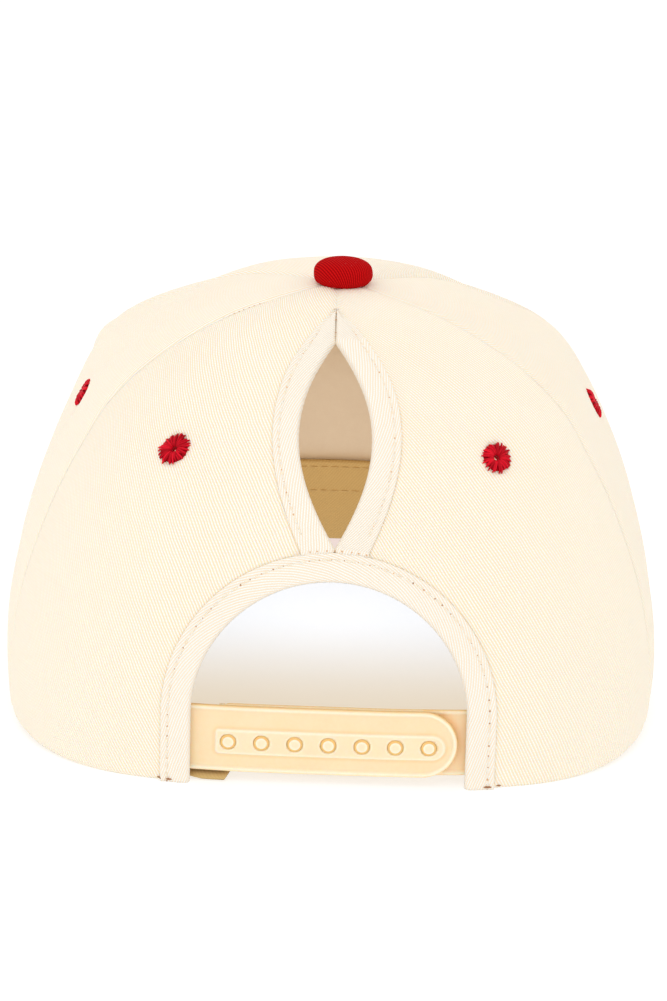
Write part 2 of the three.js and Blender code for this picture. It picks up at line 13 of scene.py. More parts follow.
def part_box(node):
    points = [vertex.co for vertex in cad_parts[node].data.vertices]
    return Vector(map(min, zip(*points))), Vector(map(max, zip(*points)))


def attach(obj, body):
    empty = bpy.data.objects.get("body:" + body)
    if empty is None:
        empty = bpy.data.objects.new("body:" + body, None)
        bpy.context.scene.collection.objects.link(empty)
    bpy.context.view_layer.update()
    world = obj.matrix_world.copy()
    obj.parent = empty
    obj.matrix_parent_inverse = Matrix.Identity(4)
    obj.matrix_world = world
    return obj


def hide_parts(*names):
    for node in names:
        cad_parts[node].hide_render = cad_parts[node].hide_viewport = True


bl_info = {
    "name": "Ponytail Baseball Cap",
    "version": (1, 0, 0),
    "blender": (4, 5, 0),
    "location": "3D View > Sidebar > Cap",
    "description": "Dresses the solids of a ponytail cap in twill, tape, thread and moulded plastic",
    "category": "Add Mesh",
}

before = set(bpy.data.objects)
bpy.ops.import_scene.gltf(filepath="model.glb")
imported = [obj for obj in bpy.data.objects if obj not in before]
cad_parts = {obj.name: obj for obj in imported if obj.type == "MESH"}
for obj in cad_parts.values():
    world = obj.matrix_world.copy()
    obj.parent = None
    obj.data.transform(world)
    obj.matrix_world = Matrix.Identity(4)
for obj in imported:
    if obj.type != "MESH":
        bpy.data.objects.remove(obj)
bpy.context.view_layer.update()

BODY = "root"

# Crown sections from the hem, along 0, to the button, along 1. Rise is a share of the height, width of
# the half width, back and front of the two depths. Square is the corner exponent: 2 is an ellipse.
SECTION_KEYS = ("rise", "width", "back", "front", "square_back", "square_front")
CROWN_SECTIONS = (
    dict(along=0.0, rise=0.0, width=0.97, back=1.0, front=1.0, square_back=3.4, square_front=2.6),
    dict(along=0.12, rise=0.13, width=0.98, back=1.0, front=1.0, square_back=3.4, square_front=2.6),
    dict(along=0.25, rise=0.266, width=0.968, back=0.99, front=0.995, square_back=3.2, square_front=2.7),
    dict(along=0.38, rise=0.412, width=0.93, back=0.962, front=0.98, square_back=3.0, square_front=2.9),
    dict(along=0.5, rise=0.551, width=0.87, back=0.905, front=0.945, square_back=2.8, square_front=3.2),
    dict(along=0.61, rise=0.676, width=0.79, back=0.825, front=0.925, square_back=2.7, square_front=3.5),
    dict(along=0.72, rise=0.79, width=0.697, back=0.705, front=0.77, square_back=2.5, square_front=3.2),
    dict(along=0.82, rise=0.887, width=0.54, back=0.54, front=0.585, square_back=2.3, square_front=2.15),
    dict(along=0.91, rise=0.96, width=0.325, back=0.335, front=0.4, square_back=2.1, square_front=2.3),
    dict(along=1.0, rise=1.006, width=0.034, back=0.036, front=0.036, square_back=2.0, square_front=2.0),
)

# Soft folds and dents, each from its first place to its second: turn in degrees round the button's axis
# from +X, along the section share. Reach is a share of the crown's height and depth a share of the cloth's
# thickness; below 0 it bulges out.
FOLDS = (
    dict(name="left crease", turn=-172, along=0.29, to_turn=-161, to_along=0.08, reach=0.044, depth=1.0),
    dict(name="left dent", turn=-184, along=0.55, to_turn=-180, to_along=0.66, reach=0.08, depth=0.9),
    dict(name="right fold", turn=-74, along=0.88, to_turn=-52, to_along=0.66, reach=0.035, depth=0.45),
    dict(name="left fold", turn=-107, along=0.88, to_turn=-130, to_along=0.7, reach=0.035, depth=0.4),
    dict(name="right hollow", turn=-12, along=0.3, to_turn=-2, to_along=0.5, reach=0.12, depth=0.6),
    dict(name="left shoulder", turn=156, along=0.64, to_turn=150, to_along=0.7, reach=0.09, depth=-1.25),
    dict(name="front dimple", turn=62, along=0.5, to_turn=74, to_along=0.66, reach=0.11, depth=0.8),
)

# Section of the folded tape, from its hidden edge inside the cap, round the fold at the opening, to its
# outer edge. Across is the share of its width from the opening; off is the share of its proud height.
TAPE_SECTION = (
    dict(across=1.0, off=0.55, inside=1),
    dict(across=0.9, off=0.9, inside=1),
    dict(across=0.35, off=1.0, inside=1),
    dict(across=0.1, off=0.75, inside=1),
    dict(across=0.015, off=0.0, inside=1),
    dict(across=-0.02, off=-1.14, inside=1),
    dict(across=0.015, off=-0.15, inside=0),
    dict(across=0.09, off=0.7, inside=0),
    dict(across=0.3, off=0.98, inside=0),
    dict(across=0.55, off=0.95, inside=0),
    dict(across=0.7, off=0.72, inside=0),
    dict(across=0.765, off=0.6, inside=0),
    dict(across=0.83, off=0.78, inside=0),
    dict(across=0.92, off=1.08, inside=0),
    dict(across=0.985, off=0.85, inside=0),
    dict(across=1.01, off=0.2, inside=0),
    dict(across=0.99, off=-0.4, inside=0),
)


def length(name, description, default):
    """A size in metres."""
    return FloatProperty(name=name, description=description, default=default, unit="LENGTH", precision=5)


def share(name, description, default):
    """A plain number, such as a share of another size."""
    return FloatProperty(name=name, description=description, default=default, precision=4)


def angle(name, description, degrees):
    """An angle, given in degrees and kept in radians."""
    default = math.radians(degrees)
    return FloatProperty(name=name, description=description, default=default, unit="ROTATION")


def linear(byte):
    """A display value from 0 to 255 as a linear one from 0 to 1."""
    value = byte / 255
    return value / 12.92 if value <= 0.04045 else ((value + 0.055) / 1.055) ** 2.4


def glow(name, description, *default):
    """The colour of a light, in linear values from 0 to 1."""
    return FloatVectorProperty(name=name, description=description, default=default, subtype="COLOR",
                               min=0, max=1)


def colour(name, description, *display):
    """A colour, given in display values from 0 to 255."""
    return glow(name, description, *(linear(byte) for byte in display))


def number(name, description, default):
    """How many there are of something."""
    return IntProperty(name=name, description=description, default=default, min=1)


def amount(name, description, default):
    """A power or another plain value that has no unit of length."""
    return FloatProperty(name=name, description=description, default=default)


class CAP_PG_crown(bpy.types.PropertyGroup):
    """Sizes of the crown's cloth."""
    width: length("Width", "Width of the crown across its widest level", 0.186)
    back: length("Back", "From the button's axis to the back of the hem", 0.086)
    front: length("Front", "From the button's axis to the front of the hem", 0.088)
    height: length("Height", "From the hem to the cloth under the button", 0.115)
    cloth: length("Cloth", "Thickness of the twill with its seam allowances", 0.0016)
    front_lift: length("Front Lift", "How far the brim lifts the middle of the front hem", 0.0086)
    side_lift: length("Side Lift", "How far the hem rises at the sides", 0.0029)
    flat_back: share("Flat Back", "How far round the back the hem stays down", 0.3)
    puff: length("Puff", "How much higher the stiff front stands behind the button", 0.004)
    puff_start: share("Puff Start", "Section share at which the stiff front starts to rise", 0.46)
    back_seam: angle("Back Seam", "Turn of the seam between a side and a back panel", -28)
    front_seam: angle("Front Seam", "Turn of the seam between a side and the front panel", 34)
    seam_depth: length("Seam Depth", "How deep the cloth dips along a seam", 0.00045)
    seam_reach: length("Seam Reach", "How far from a seam the dip fades", 0.0011)
    ripple: length("Ripple", "Depth of the slow waves in the cloth", 0.0003)


class CAP_PG_openings(bpy.types.PropertyGroup):
    """Sizes of the arch, the ponytail slot and the tapes round them."""
    arch_half: length("Arch Half Width", "Half the width of the arch over the strap", 0.0367)
    arch_legs: length("Arch Legs", "Straight part of the arch above the hem", 0.0195)
    arch_crown: length("Arch Crown", "Height of the arch's half ellipse over its legs", 0.0372)
    tape: length("Tape", "Width of the folded tape", 0.0076)
    proud: length("Tape Proud", "How far the tape stands off the cloth", 0.0007)
    slot_start: length("Slot Start", "Cloth between the arch's tape and the slot", 0.0011)
    slot_length: length("Slot Length", "Length of the ponytail slot", 0.0637)
    slot_half: length("Slot Half Width", "Half the width of the ponytail slot", 0.0098)
    slot_tail: length("Slot Tail", "How far the two tapes run on above the slot", 0.0146)
    tape_tip: length("Tape Tip", "Half the width of the two tapes at their tip", 0.0005)
    tape_spread: share("Tape Spread", "Share of its bow at which a tape leaves the arch", 0.17)
    slot_lean: share("Slot Lean", "Below 1 the slot is widest under its middle", 0.92)
    narrow_left: length("Narrow Left", "How much narrower the slot's left tape is", 0.0009)
    sway: length("Sway", "How far the slot's top lies off the middle", -0.0008)
    tape_cloth: length("Tape Cloth", "Thickness of the tape's own cloth", 0.00045)


class CAP_PG_trim(bpy.types.PropertyGroup):
    """Sizes of the button, the eyelets and the thread."""
    button_radius: length("Button Radius", "Radius of the covered button", 0.0082)
    button_height: length("Button Height", "Height of the covered button over the cloth", 0.0061)
    button_skirt: length("Button Skirt", "How far the button's edge comes down over the cloth", 0.0005)
    button_lift: length("Button Lift", "How far that cloth lies over the crown's height", 0.0007)
    button_aside: length("Button Aside", "How far the button sits off the middle", 0.0008)
    button_stem: length("Button Stem", "Radius of the button's stem", 0.0022)
    button_plate: length("Button Plate", "Radius of the plate inside the crown", 0.006)
    plate_thickness: length("Plate Thickness", "Thickness of the plate inside the crown", 0.0012)
    eyelet_radius: length("Eyelet Radius", "Outer radius of an embroidered eyelet", 0.0043)
    eyelet_hole: length("Eyelet Hole", "Radius of an eyelet's air hole", 0.0008)
    eyelet_proud: length("Eyelet Proud", "How far an eyelet's thread stands off the cloth", 0.0008)
    eyelet_strands: number("Eyelet Strands", "Strands of thread round an eyelet", 46)
    back_turn: angle("Back Eyelet Turn", "Turn of the eyelets in the back panels", -55.2)
    back_along: share("Back Eyelet Height", "Section share of the eyelets in the back panels", 0.665)
    side_turn: angle("Side Eyelet Turn", "Turn of the eyelets in the side panels", 4)
    side_along: share("Side Eyelet Height", "Section share of the eyelets in the side panels", 0.624)
    thread: length("Thread", "Thickness of the sewing thread", 0.0004)
    stitch: length("Stitch", "Length of a stitch from needle hole to needle hole", 0.0032)
    stitch_inset: length("Stitch Inset", "From a tape's outer edge to its row of stitches", 0.0018)


class CAP_PG_strap(bpy.types.PropertyGroup):
    """Sizes of the snap strap. Its left half lies outside."""
    width: length("Strap Width", "Width of the strap", 0.019)
    thickness: length("Strap Thickness", "Thickness of each half", 0.0013)
    lift: length("Strap Lift", "Lower edge of the strap above the hem", 0.0026)
    root: length("Strap Root", "Length of the strap that is sewn in behind the tape", 0.01)
    gap: length("Strap Gap", "Clearance between the halves and behind the tape", 0.0003)
    slack: length("Strap Slack", "How much farther out the left half's tip stands than its root", 0.0015)
    tip_clear: length("Tip Clearance", "From the left half's round tip to the right tape", 0.0021)
    ridge: length("Ridge", "Height of the raised rim and track", 0.00045)
    rim: length("Rim", "Width of the raised rim", 0.0013)
    track: length("Track", "Width of the raised track round the snaps", 0.0069)
    track_corner: length("Track Corner", "Corner radius at the track's root end", 0.0009)
    track_tip: length("Track Tip", "From the track to the strap's tip", 0.0035)
    track_margin: length("Track Margin", "From the first snap to the track's root end", 0.0034)
    track_end: length("Track End", "From the last snap to the track's round end", 0.0043)
    snap_drop: length("Snap Drop", "How far the row of snaps lies under the strap's middle", 0.0008)
    snaps: number("Snaps", "Number of snaps", 7)
    pitch: length("Snap Pitch", "From one snap to the next", 0.0089)
    hole: length("Snap Hole", "Radius of a hole", 0.0021)
    stud: length("Stud", "Radius of a stud", 0.00155)
    stud_height: length("Stud Height", "Height of a stud above the track", 0.0003)
    end_corner: length("End Corner", "Corner radius at that hidden end", 0.005)
    end_margin: length("End Margin", "From the last stud to the hidden end of the right half", 0.0045)


class CAP_PG_edges(bpy.types.PropertyGroup):
    """Sizes of the sweatband and the brim."""
    band_height: length("Band Height", "Height of the sweatband", 0.028)
    band_thickness: length("Band Thickness", "Thickness of the sweatband", 0.0014)
    band_lift: length("Band Lift", "Lower edge of the sweatband above the hem", 0.0004)
    band_fit: length("Band Fit", "Clearance between the sweatband and the cloth", 0.00055)
    band_end: length("Band End", "How far its left end shows past the tape", 0.011)
    band_end_height: length("Band End Height", "Height of that end", 0.015)
    band_corner: length("Band Corner", "Radius of the lower corner at that end", 0.0016)
    band_step: length("Band Step", "Length over which the band steps in behind the strap", 0.014)
    fit: length("Fit", "Clearance between pieces that are sewn face to face", 0.0003)
    brim_length: length("Brim Length", "From the front hem to the brim's front edge", 0.07)
    brim_thickness: length("Brim Thickness", "Thickness of the covered brim", 0.0034)
    brim_turn: angle("Brim Turn", "The brim's root starts this far in front of the side", 24)
    brim_side: length("Brim Side", "Length of the brim's side edge from its root", 0.014)
    brim_flare: length("Brim Flare", "How much wider the side edge ends than its root", 0.0016)
    brim_arch: length("Brim Arch", "Height of the front edge's middle over its sides", 0.015)
    brim_arch_power: share("Brim Arch Power", "A higher power keeps more of the sides down", 2.6)
    brim_ease: share("Brim Ease", "How much sooner than evenly the brim takes its edge's height", 0.35)
    brim_square: share("Brim Square", "Corner exponent of the front edge", 2.35)
    brim_rows: number("Brim Rows", "Rows of stitches on the brim", 8)
    brim_row_pitch: length("Brim Row Pitch", "From one row of stitches to the next", 0.0072)
    brim_edge_row: length("Brim Edge Row", "From the brim's edge to the first row", 0.0045)


class CAP_PG_looks(bpy.types.PropertyGroup):
    """Colours and weave."""
    # Each twill's low colour is painted shade in the furrows between its ribs; the tape's and the band's low
    # colours are also the darker grain of the cream and the tan thread
    cream: colour("Cream", "Colour of the twill's ribs", 253, 251, 245)
    cream_low: colour("Cream Low", "Colour between the twill's ribs", 252, 229, 191)
    tape: colour("Tape", "Colour of the tape's ribs", 250, 253, 250)
    tape_low: colour("Tape Low", "Colour between the tape's ribs", 252, 229, 198)
    thread: colour("Thread", "Colour of the cream sewing thread", 252, 244, 232)
    mark: colour("Needle Marks", "Colour of the lighter dots at the needle holes", 240, 196, 152)
    tack: colour("Tacks", "Colour of the darker dots and of the tacks at the hem", 150, 96, 60)
    # The red twill's rib colour is also a painted highlight, and its low colour painted shade in the
    # valleys; red_low is also the red thread's darker grain
    red: colour("Red", "Colour of the red twill's ribs", 214, 22, 24)
    red_low: colour("Red Low", "Colour between the red twill's ribs", 142, 0, 2)
    silk: colour("Embroidery", "Colour of the eyelets' thread", 242, 24, 48)
    silk_low: colour("Embroidery Low", "Colour of the eyelets' darker strands", 150, 0, 12)
    band: colour("Sweatband", "Colour of the sweatband's cloth", 211, 180, 121)
    band_low: colour("Sweatband Low", "Colour between the sweatband's threads", 203, 170, 111)
    lining: colour("Lining", "Colour of the crown's plain inner face", 232, 217, 195)
    lining_low: colour("Lining Low", "Colour of the inner face's darker threads", 229, 213, 191)
    # Painted highlight: the lit colour of the strap's thin raised edges
    snap_painted_highlight: colour("Snap High", "Colour of the strap's thin raised edges", 255, 246, 224)
    # Painted shade: the colour of the strap's plastic where it lies deep
    snap: colour("Snap Plastic", "Colour of the strap's plastic where it is deep", 253, 200, 122)
    floor: colour("Floor", "Colour of the floor where light falls on it", 158, 165, 175)
    rib_pitch: length("Rib Pitch", "From one rib of the panels' twill to the next", 0.00078)
    rib_turn: angle("Rib Turn", "Lean of the ribs from the upright of a panel", 27)
    tape_pitch: length("Tape Rib Pitch", "From one rib of the tape's twill to the next", 0.00068)
    tape_turn: angle("Tape Rib Turn", "Lean of the ribs from the tape's length", -20)
    red_pitch: length("Red Rib Pitch", "From one rib of the red twill to the next", 0.00075)


class CAP_PG_stage(bpy.types.PropertyGroup):
    """The floor, the light and the camera."""
    camera_distance: length("Camera Distance", "From the foot of the button's axis to the camera", 1.0)
    camera_elevation: angle("Camera Elevation", "Height of the camera over the floor, as an angle", 21.95)
    camera_pitch: angle("Camera Pitch", "How far the camera looks down", 19.2)
    camera_roll: angle("Camera Roll", "Roll of the camera round its line of sight", 1.5)
    lens: amount("Lens", "Focal length in millimetres", 124.4)
    shift: share("Shift", "Sideways shift of the lens", -0.0008)
    sky: share("Sky", "Strength of the even light from all round", 1.0)
    key: amount("Key Light", "Power of the soft light from above", 2.2)
    floor_glow: glow("Floor Glow", "Light that comes up through the floor", 0.73, 0.7, 0.65)
    # Painted light: inside the cap the floor's glow is bluer at the front, a painted pool of light
    glow_painted_front_light: glow("Front Glow", "That light inside the cap, at its front", 0.72, 0.77, 0.84)
    # Painted shadow: inside the cap, by the strap, the glow is dimmer and warmer, a painted shadow of the
    # strap
    glow_painted_strap_shadow: glow("Back Glow", "That light inside the cap, by the strap", 0.6, 0.52, 0.4)
    inner: amount("Inner Light", "Power of the light that the cloth lets in", 0.022)
    inner_colour: colour("Inner Colour", "Colour of that light", 255, 240, 222)
    floor_half: length("Floor Half", "Half the width of the floor", 4.0)


class CAP_PG_cap(bpy.types.PropertyGroup):
    """All that can be set on the cap."""
    crown: PointerProperty(type=CAP_PG_crown)
    openings: PointerProperty(type=CAP_PG_openings)
    trim: PointerProperty(type=CAP_PG_trim)
    strap: PointerProperty(type=CAP_PG_strap)
    edges: PointerProperty(type=CAP_PG_edges)
    looks: PointerProperty(type=CAP_PG_looks)
    stage: PointerProperty(type=CAP_PG_stage)


def smooth(value):
    """The usual soft step from 0 to 1."""
    value = np.clip(value, 0, 1)
    return value * value * (3 - 2 * value)


def mix(start, stop, part):
    return start + (stop - start) * part


def unit(vectors):
    return vectors / np.linalg.norm(vectors, axis=-1)[..., None]


def square_reach(cos, sin, power):
    """How far out a rounded square lies in a direction; a power of 2 makes it a circle."""
    return (np.abs(cos) ** power + np.abs(sin) ** power) ** (-1 / power)


def curl_in(part):
    """How far a quarter round has turned in, from 0 to 1, where part runs along it."""
    return 1 - np.sqrt(1 - part**2)


def read_at(lengths, rows, at):
    """Rows of three values along a line, read at given lengths."""
    return np.stack([np.interp(at, lengths, rows[:, axis]) for axis in range(3)], -1)


def bell(away, reach):
    """A soft hump: 1 at no distance, and about a third of that at the reach."""
    return np.exp(-((away / reach) ** 2))


def other_side(turn):
    """The turn of the same place on the cap's other side."""
    return -math.pi - turn


def measured(points):
    """Lengths along a line of points, from its first point."""
    steps = np.linalg.norm(np.diff(points, axis=0), axis=-1)
    return np.concatenate([np.zeros((1,) + steps.shape[1:]), np.cumsum(steps, axis=0)])


def through(times, values, at):
    """Smooth curve through rows of values; its ends have no curvature."""
    times = np.asarray(times, float)
    values = np.asarray(values, float)
    last = len(times) - 1
    at = np.clip(at, times[0], times[last])
    right = np.clip(np.searchsorted(times, at, side="right"), 1, last)
    left = right - 1
    before = np.where(left == 0, right, left - 1)
    after = np.where(right == last, left, right + 1)
    start, stop = times[left], times[right]
    pull = (stop - start) / 2 / (start - times[before])
    push = (stop - start) / 2 / (times[after] - stop)
    p = (at - start) / (stop - start)
    parts = (
        (-pull * p**3 + 2 * pull * p**2 - pull * p, before),
        ((1 + pull) * p**3 - (1.5 + 2 * pull) * p**2 + (pull - 0.5) * p + 1, left),
        (-(1 + push) * p**3 + (1.5 + push) * p**2 + 0.5 * p, right),
        (push * p**3 - push * p**2, after),
    )
    return sum(weight[..., None] * values[index] for weight, index in parts)


class CapShape:
    """The crown's cloth as a surface. Along is the section share, and turn goes round from +X."""

    steps = 400
    level_hem = 0.06
    wave_count = 10

    def __init__(self, cap):
        self.crown = cap.crown
        self.openings = cap.openings
        self.strap = cap.strap
        low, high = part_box("button")
        self.axis = np.array([(low.x + high.x) / 2, (low.y + high.y) / 2, 0.0])
        self.times = [row["along"] for row in CROWN_SECTIONS]
        self.rows = [[row[key] for key in SECTION_KEYS] for row in CROWN_SECTIONS]
        self.shares = np.linspace(0, 1, self.steps + 1)
        self.lengths = measured(self.dome(self.shares, np.full(self.steps + 1, -math.pi / 2)))
        self.rises = self.section(self.shares)["rise"] * self.crown.height
        rng = np.random.default_rng(7)
        directions = unit(rng.normal(size=(self.wave_count, 3)))
        wavelengths = rng.uniform(0.016, 0.05, self.wave_count)
        self.waves = directions * (2 * math.pi / wavelengths)[:, None]
        self.phases = rng.uniform(0, 2 * math.pi, self.wave_count)

    def section(self, along):
        values = through(self.times, self.rows, np.asarray(along, float))
        return dict(zip(SECTION_KEYS, np.moveaxis(values, -1, 0)))

    def dome(self, along, turn):
        """A point of the smooth crown round the button's axis, before its folds."""
        crown = self.crown
        row = self.section(along)
        cos, sin = np.cos(turn), np.sin(turn)
        square = np.where(sin < 0, row["square_back"], row["square_front"])
        reach = square_reach(cos, sin, square)
        depth = np.where(sin < 0, crown.back * row["back"], crown.front * row["front"])
        to_front = np.maximum(sin, 0)
        to_side = smooth((cos * cos - crown.flat_back) / (1 - crown.flat_back)) * (1 - to_front)
        free = 1 - row["rise"]
        puff = np.clip((along - crown.puff_start) / (1 - crown.puff_start), 0, 1)
        lift = crown.front_lift * to_front**2 * free + crown.side_lift * to_side * free**2
        height = crown.height * row["rise"] + lift + crown.puff * to_front * np.sin(math.pi * puff)
        return np.stack([crown.width / 2 * row["width"] * reach * cos, depth * reach * sin, height], -1)

    def normal(self, along, turn):
        """The outward normal of the smooth crown, level at the hem."""
        step = 0.002
        up = self.dome(np.minimum(along + step, 1), turn) - self.dome(np.maximum(along - step, 0), turn)
        sideways = self.dome(along, turn + step) - self.dome(along, turn - step)
        normal = unit(np.cross(sideways, up))
        normal[..., 2] *= smooth(np.asarray(along) / self.level_hem)
        return unit(normal)

    def fold_depth(self, point):
        """How far the folds and the slow waves press the cloth in at a point of the smooth crown."""
        crown = self.crown
        depth = np.zeros(point.shape[:-1])
        for fold in FOLDS:
            start = self.dome(np.array(fold["along"]), np.array(math.radians(fold["turn"])))
            stop = self.dome(np.array(fold["to_along"]), np.array(math.radians(fold["to_turn"])))
            run = stop - start
            part = np.clip((point - start) @ run / (run @ run), 0, 1)
            away = np.linalg.norm(point - start - part[..., None] * run, axis=-1)
            fade = (1 + np.sin(math.pi * part)) / 2
            reach = fold["reach"] * crown.height
            depth += crown.cloth * fold["depth"] * fade * bell(away, reach)
        swell = np.sin(point @ self.waves.T + self.phases).mean(-1)
        return depth + crown.ripple * swell * smooth(point[..., 2] / 0.02)

    def surface(self, along, turn, inset=0.0):
        """A point of the crown's cloth in the row frame, inset from its outer face."""
        along, turn = np.broadcast_arrays(np.asarray(along, float), np.asarray(turn, float))
        point = self.dome(along, turn)
        depth = inset + self.fold_depth(point)
        return point - self.normal(along, turn) * depth[..., None] + self.axis

    def along_at_length(self, level):
        return np.interp(level, self.lengths, self.shares)

    def along_at_height(self, height):
        return np.interp(height, self.rises, self.shares)

    def turn_at_x(self, along, x):
        """The turn at which a level of the crown's back is x from the centre."""
        along, x = np.broadcast_arrays(np.asarray(along, float), np.asarray(x, float))
        low = np.full(x.shape, -math.pi / 2)
        high = np.zeros(x.shape)
        for _ in range(40):
            middle = (low + high) / 2
            short = self.dome(along, middle)[..., 0] < np.abs(x)
            low = np.where(short, middle, low)
            high = np.where(short, high, middle)
        return np.where(x < 0, other_side(low), low)

    def back(self, x, level, inset=0.0):
        """A point of the back from its distance off the centre and its length up the cloth."""
        along = self.along_at_length(level)
        return self.surface(along, self.turn_at_x(along, x), inset)

    def back_normal(self, x, level):
        along = self.along_at_length(level)
        return self.normal(along, self.turn_at_x(along, x))

    def back_line(self, x, level, inset):
        """Points of the back, and the normals there."""
        return self.back(x, level, inset), self.back_normal(x, level)

    def lay(self, along, turn, middle, sweep=0.0):
        """Place on the flat cloth: across from a panel's middle line and up it. Sweep bends the grain."""
        steps = 24
        across = np.zeros(np.shape(turn))
        last = self.dome(along, np.full(np.shape(turn), middle))
        for k in range(1, steps + 1):
            here = self.dome(along, middle + (turn - middle) * k / steps)
            across += np.linalg.norm(here - last, axis=-1)
            last = here
        spine = measured(self.dome(self.shares, np.full(self.steps + 1, middle)))
        up = np.interp(along, self.shares, spine)
        return np.stack([np.sign(turn - middle) * across - sweep * up**2 / 2, up], -1)

    @property
    def arch_top(self):
        return self.openings.arch_legs + self.openings.arch_crown

    @property
    def slot_bottom(self):
        return self.arch_top + self.openings.tape + self.openings.slot_start

    @property
    def tape_top(self):
        return self.slot_bottom + self.openings.slot_length + self.openings.slot_tail

    def arch_half_at(self, level, width):
        sizes = self.openings
        part = np.clip((level - sizes.arch_legs) / (sizes.arch_crown + width), 0, 1)
        return (sizes.arch_half + width) * np.sqrt(1 - part**2)

    def arch_height_at(self, x, width):
        sizes = self.openings
        rest = np.maximum(1 - (x / (sizes.arch_half + width)) ** 2, 0)
        return sizes.arch_legs + (sizes.arch_crown + width) * np.sqrt(rest)

    def slot_part(self, level):
        """Share of the slot's length at a level, from its foot."""
        return np.clip((level - self.slot_bottom) / self.openings.slot_length, 0, 1)

    def slot_inner(self, level):
        sizes = self.openings
        return sizes.slot_half * np.sin(math.pi * self.slot_part(level) ** sizes.slot_lean)

    def slot_outer(self, level, side=1):
        sizes = self.openings
        start = self.arch_top + sizes.tape
        part = np.clip((level - start) / (self.tape_top - start), 0, 1)
        bow = np.sin(math.pi * mix(sizes.tape_spread, 1, part))
        half = np.maximum((sizes.slot_half + sizes.tape) * bow, sizes.tape_tip)
        return half if side > 0 else half - sizes.narrow_left * np.sin(math.pi * part)

    def slot_middle(self, level):
        """How far the slot's middle line lies to the right at a level."""
        sway = self.openings.sway
        return mix(-0.6 * sway, sway, self.slot_part(level))


def finish_piece(piece, nodes):
    """Puts a made piece in the frame: it joins the scene and its body, and the solids that it stands for are
    hidden.
    """
    bpy.context.scene.collection.objects.link(piece)
    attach(piece, BODY)
    if nodes:
        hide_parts(*nodes)
    return piece


def mesh_piece(name, work, material, nodes=()):
    """A piece from a finished bmesh."""
    mesh = bpy.data.meshes.new(name)
    work.to_mesh(mesh)
    work.free()
    mesh.polygons.foreach_set("use_smooth", [True] * len(mesh.polygons))
    mesh.materials.append(material)
    return finish_piece(bpy.data.objects.new(name, mesh), nodes)


def grid_piece(name, points, flat, material, nodes=(), keep=None):
    """A piece from a grid whose vertices go to points, rows by columns. Flat holds its cloth coordinates."""
    rows, columns = points.shape[0] - 1, points.shape[1] - 1
    work = bmesh.new()
    bmesh.ops.create_grid(work, x_segments=columns, y_segments=rows, size=0.5)
    if keep is not None:
        cells = [(round((v.co.y + 0.5) * rows), round((v.co.x + 0.5) * columns)) for v in work.verts]
        lost = [vertex for vertex, cell in zip(work.verts, cells) if not keep[cell]]
        bmesh.ops.delete(work, geom=lost, context="VERTS")
    piece = mesh_piece(name, work, material, nodes)
    mesh = piece.data
    places = np.empty(len(mesh.vertices) * 3)
    mesh.vertices.foreach_get("co", places)
    places = places.reshape(-1, 3)
    row = np.rint((places[:, 1] + 0.5) * rows).astype(int)
    column = np.rint((places[:, 0] + 0.5) * columns).astype(int)
    mesh.vertices.foreach_set("co", points[row, column].ravel())
    corners = np.empty(len(mesh.loops), int)
    mesh.loops.foreach_get("vertex_index", corners)
    layer = mesh.uv_layers.new(name="cloth")
    layer.uv.foreach_set("vector", flat[row, column][corners].ravel())
    mesh.update()
    return piece


def thicken(piece, thickness):
    """Gives a sheet its thickness on the side away from its face."""
    wall = piece.modifiers.new("thickness", "SOLIDIFY")
    wall.thickness = thickness
    wall.offset = -1
    wall.use_quality_normals = True
    return piece


def measured_lay(points):
    """Cloth coordinates of a strip: across it along each row, and along it up the middle column."""
    across = measured(np.swapaxes(points, 0, 1)).T
    up = measured(points[:, points.shape[1] // 2])
    return np.stack([across, np.broadcast_to(up[:, None], across.shape)], -1)


def squares(columns, rows):
    """Even grid of two shares from 0 to 1, rows by columns."""
    return np.meshgrid(np.linspace(0, 1, columns + 1), np.linspace(0, 1, rows + 1))


def tube(work, points, normals, radii, sides=6):
    """A closed tube along points, which end in its two tips. Returns its vertices."""
    rings = len(points) - 1
    made = bmesh.ops.create_uvsphere(work, u_segments=sides, v_segments=rings, radius=1)["verts"]
    tangents = unit(np.gradient(points, axis=0))
    sideways = unit(np.cross(tangents, normals))
    upward = np.cross(sideways, tangents)
    for vertex in made:
        ring = round(math.acos(max(-1, min(1, vertex.co.z))) / math.pi * rings)
        around = math.atan2(vertex.co.y, vertex.co.x)
        spoke = math.cos(around) * sideways[ring] + math.sin(around) * upward[ring]
        radius = radii[ring] if 0 < ring < rings else 0
        vertex.co = points[ring] + radius * spoke
    return made


def strand(work, points, normals, thickness, tint):
    """A short thread along points, thin at both ends, with its own tint."""
    part = np.linspace(0, 1, len(points))
    radii = thickness / 2 * np.sin(math.pi * part) ** 0.4
    layer = work.verts.layers.float["tint"]
    for vertex in tube(work, points, normals, radii):
        vertex[layer] = tint


def tinted_mesh():
    """An empty bmesh whose vertices carry a tint."""
    work = bmesh.new()
    work.verts.layers.float.new("tint")
    return work


def stitch_row(work, line, normals, sizes):
    """A row of stitches along a line: one thread that dives under at each needle hole."""
    lengths = measured(line)
    count = max(round(lengths[-1] / sizes.stitch), 1)
    at = np.linspace(0, 1, count * 7 + 1)
    points, ups = (read_at(lengths, rows, at * lengths[-1]) for rows in (line, normals))
    wave = np.abs(np.sin(math.pi * at * count)) ** 0.5
    rise = mix(-0.9, 0.3, wave) * sizes.thread
    tube(work, points + ups * rise[:, None], ups, mix(0.25, 0.5, wave) * sizes.thread)


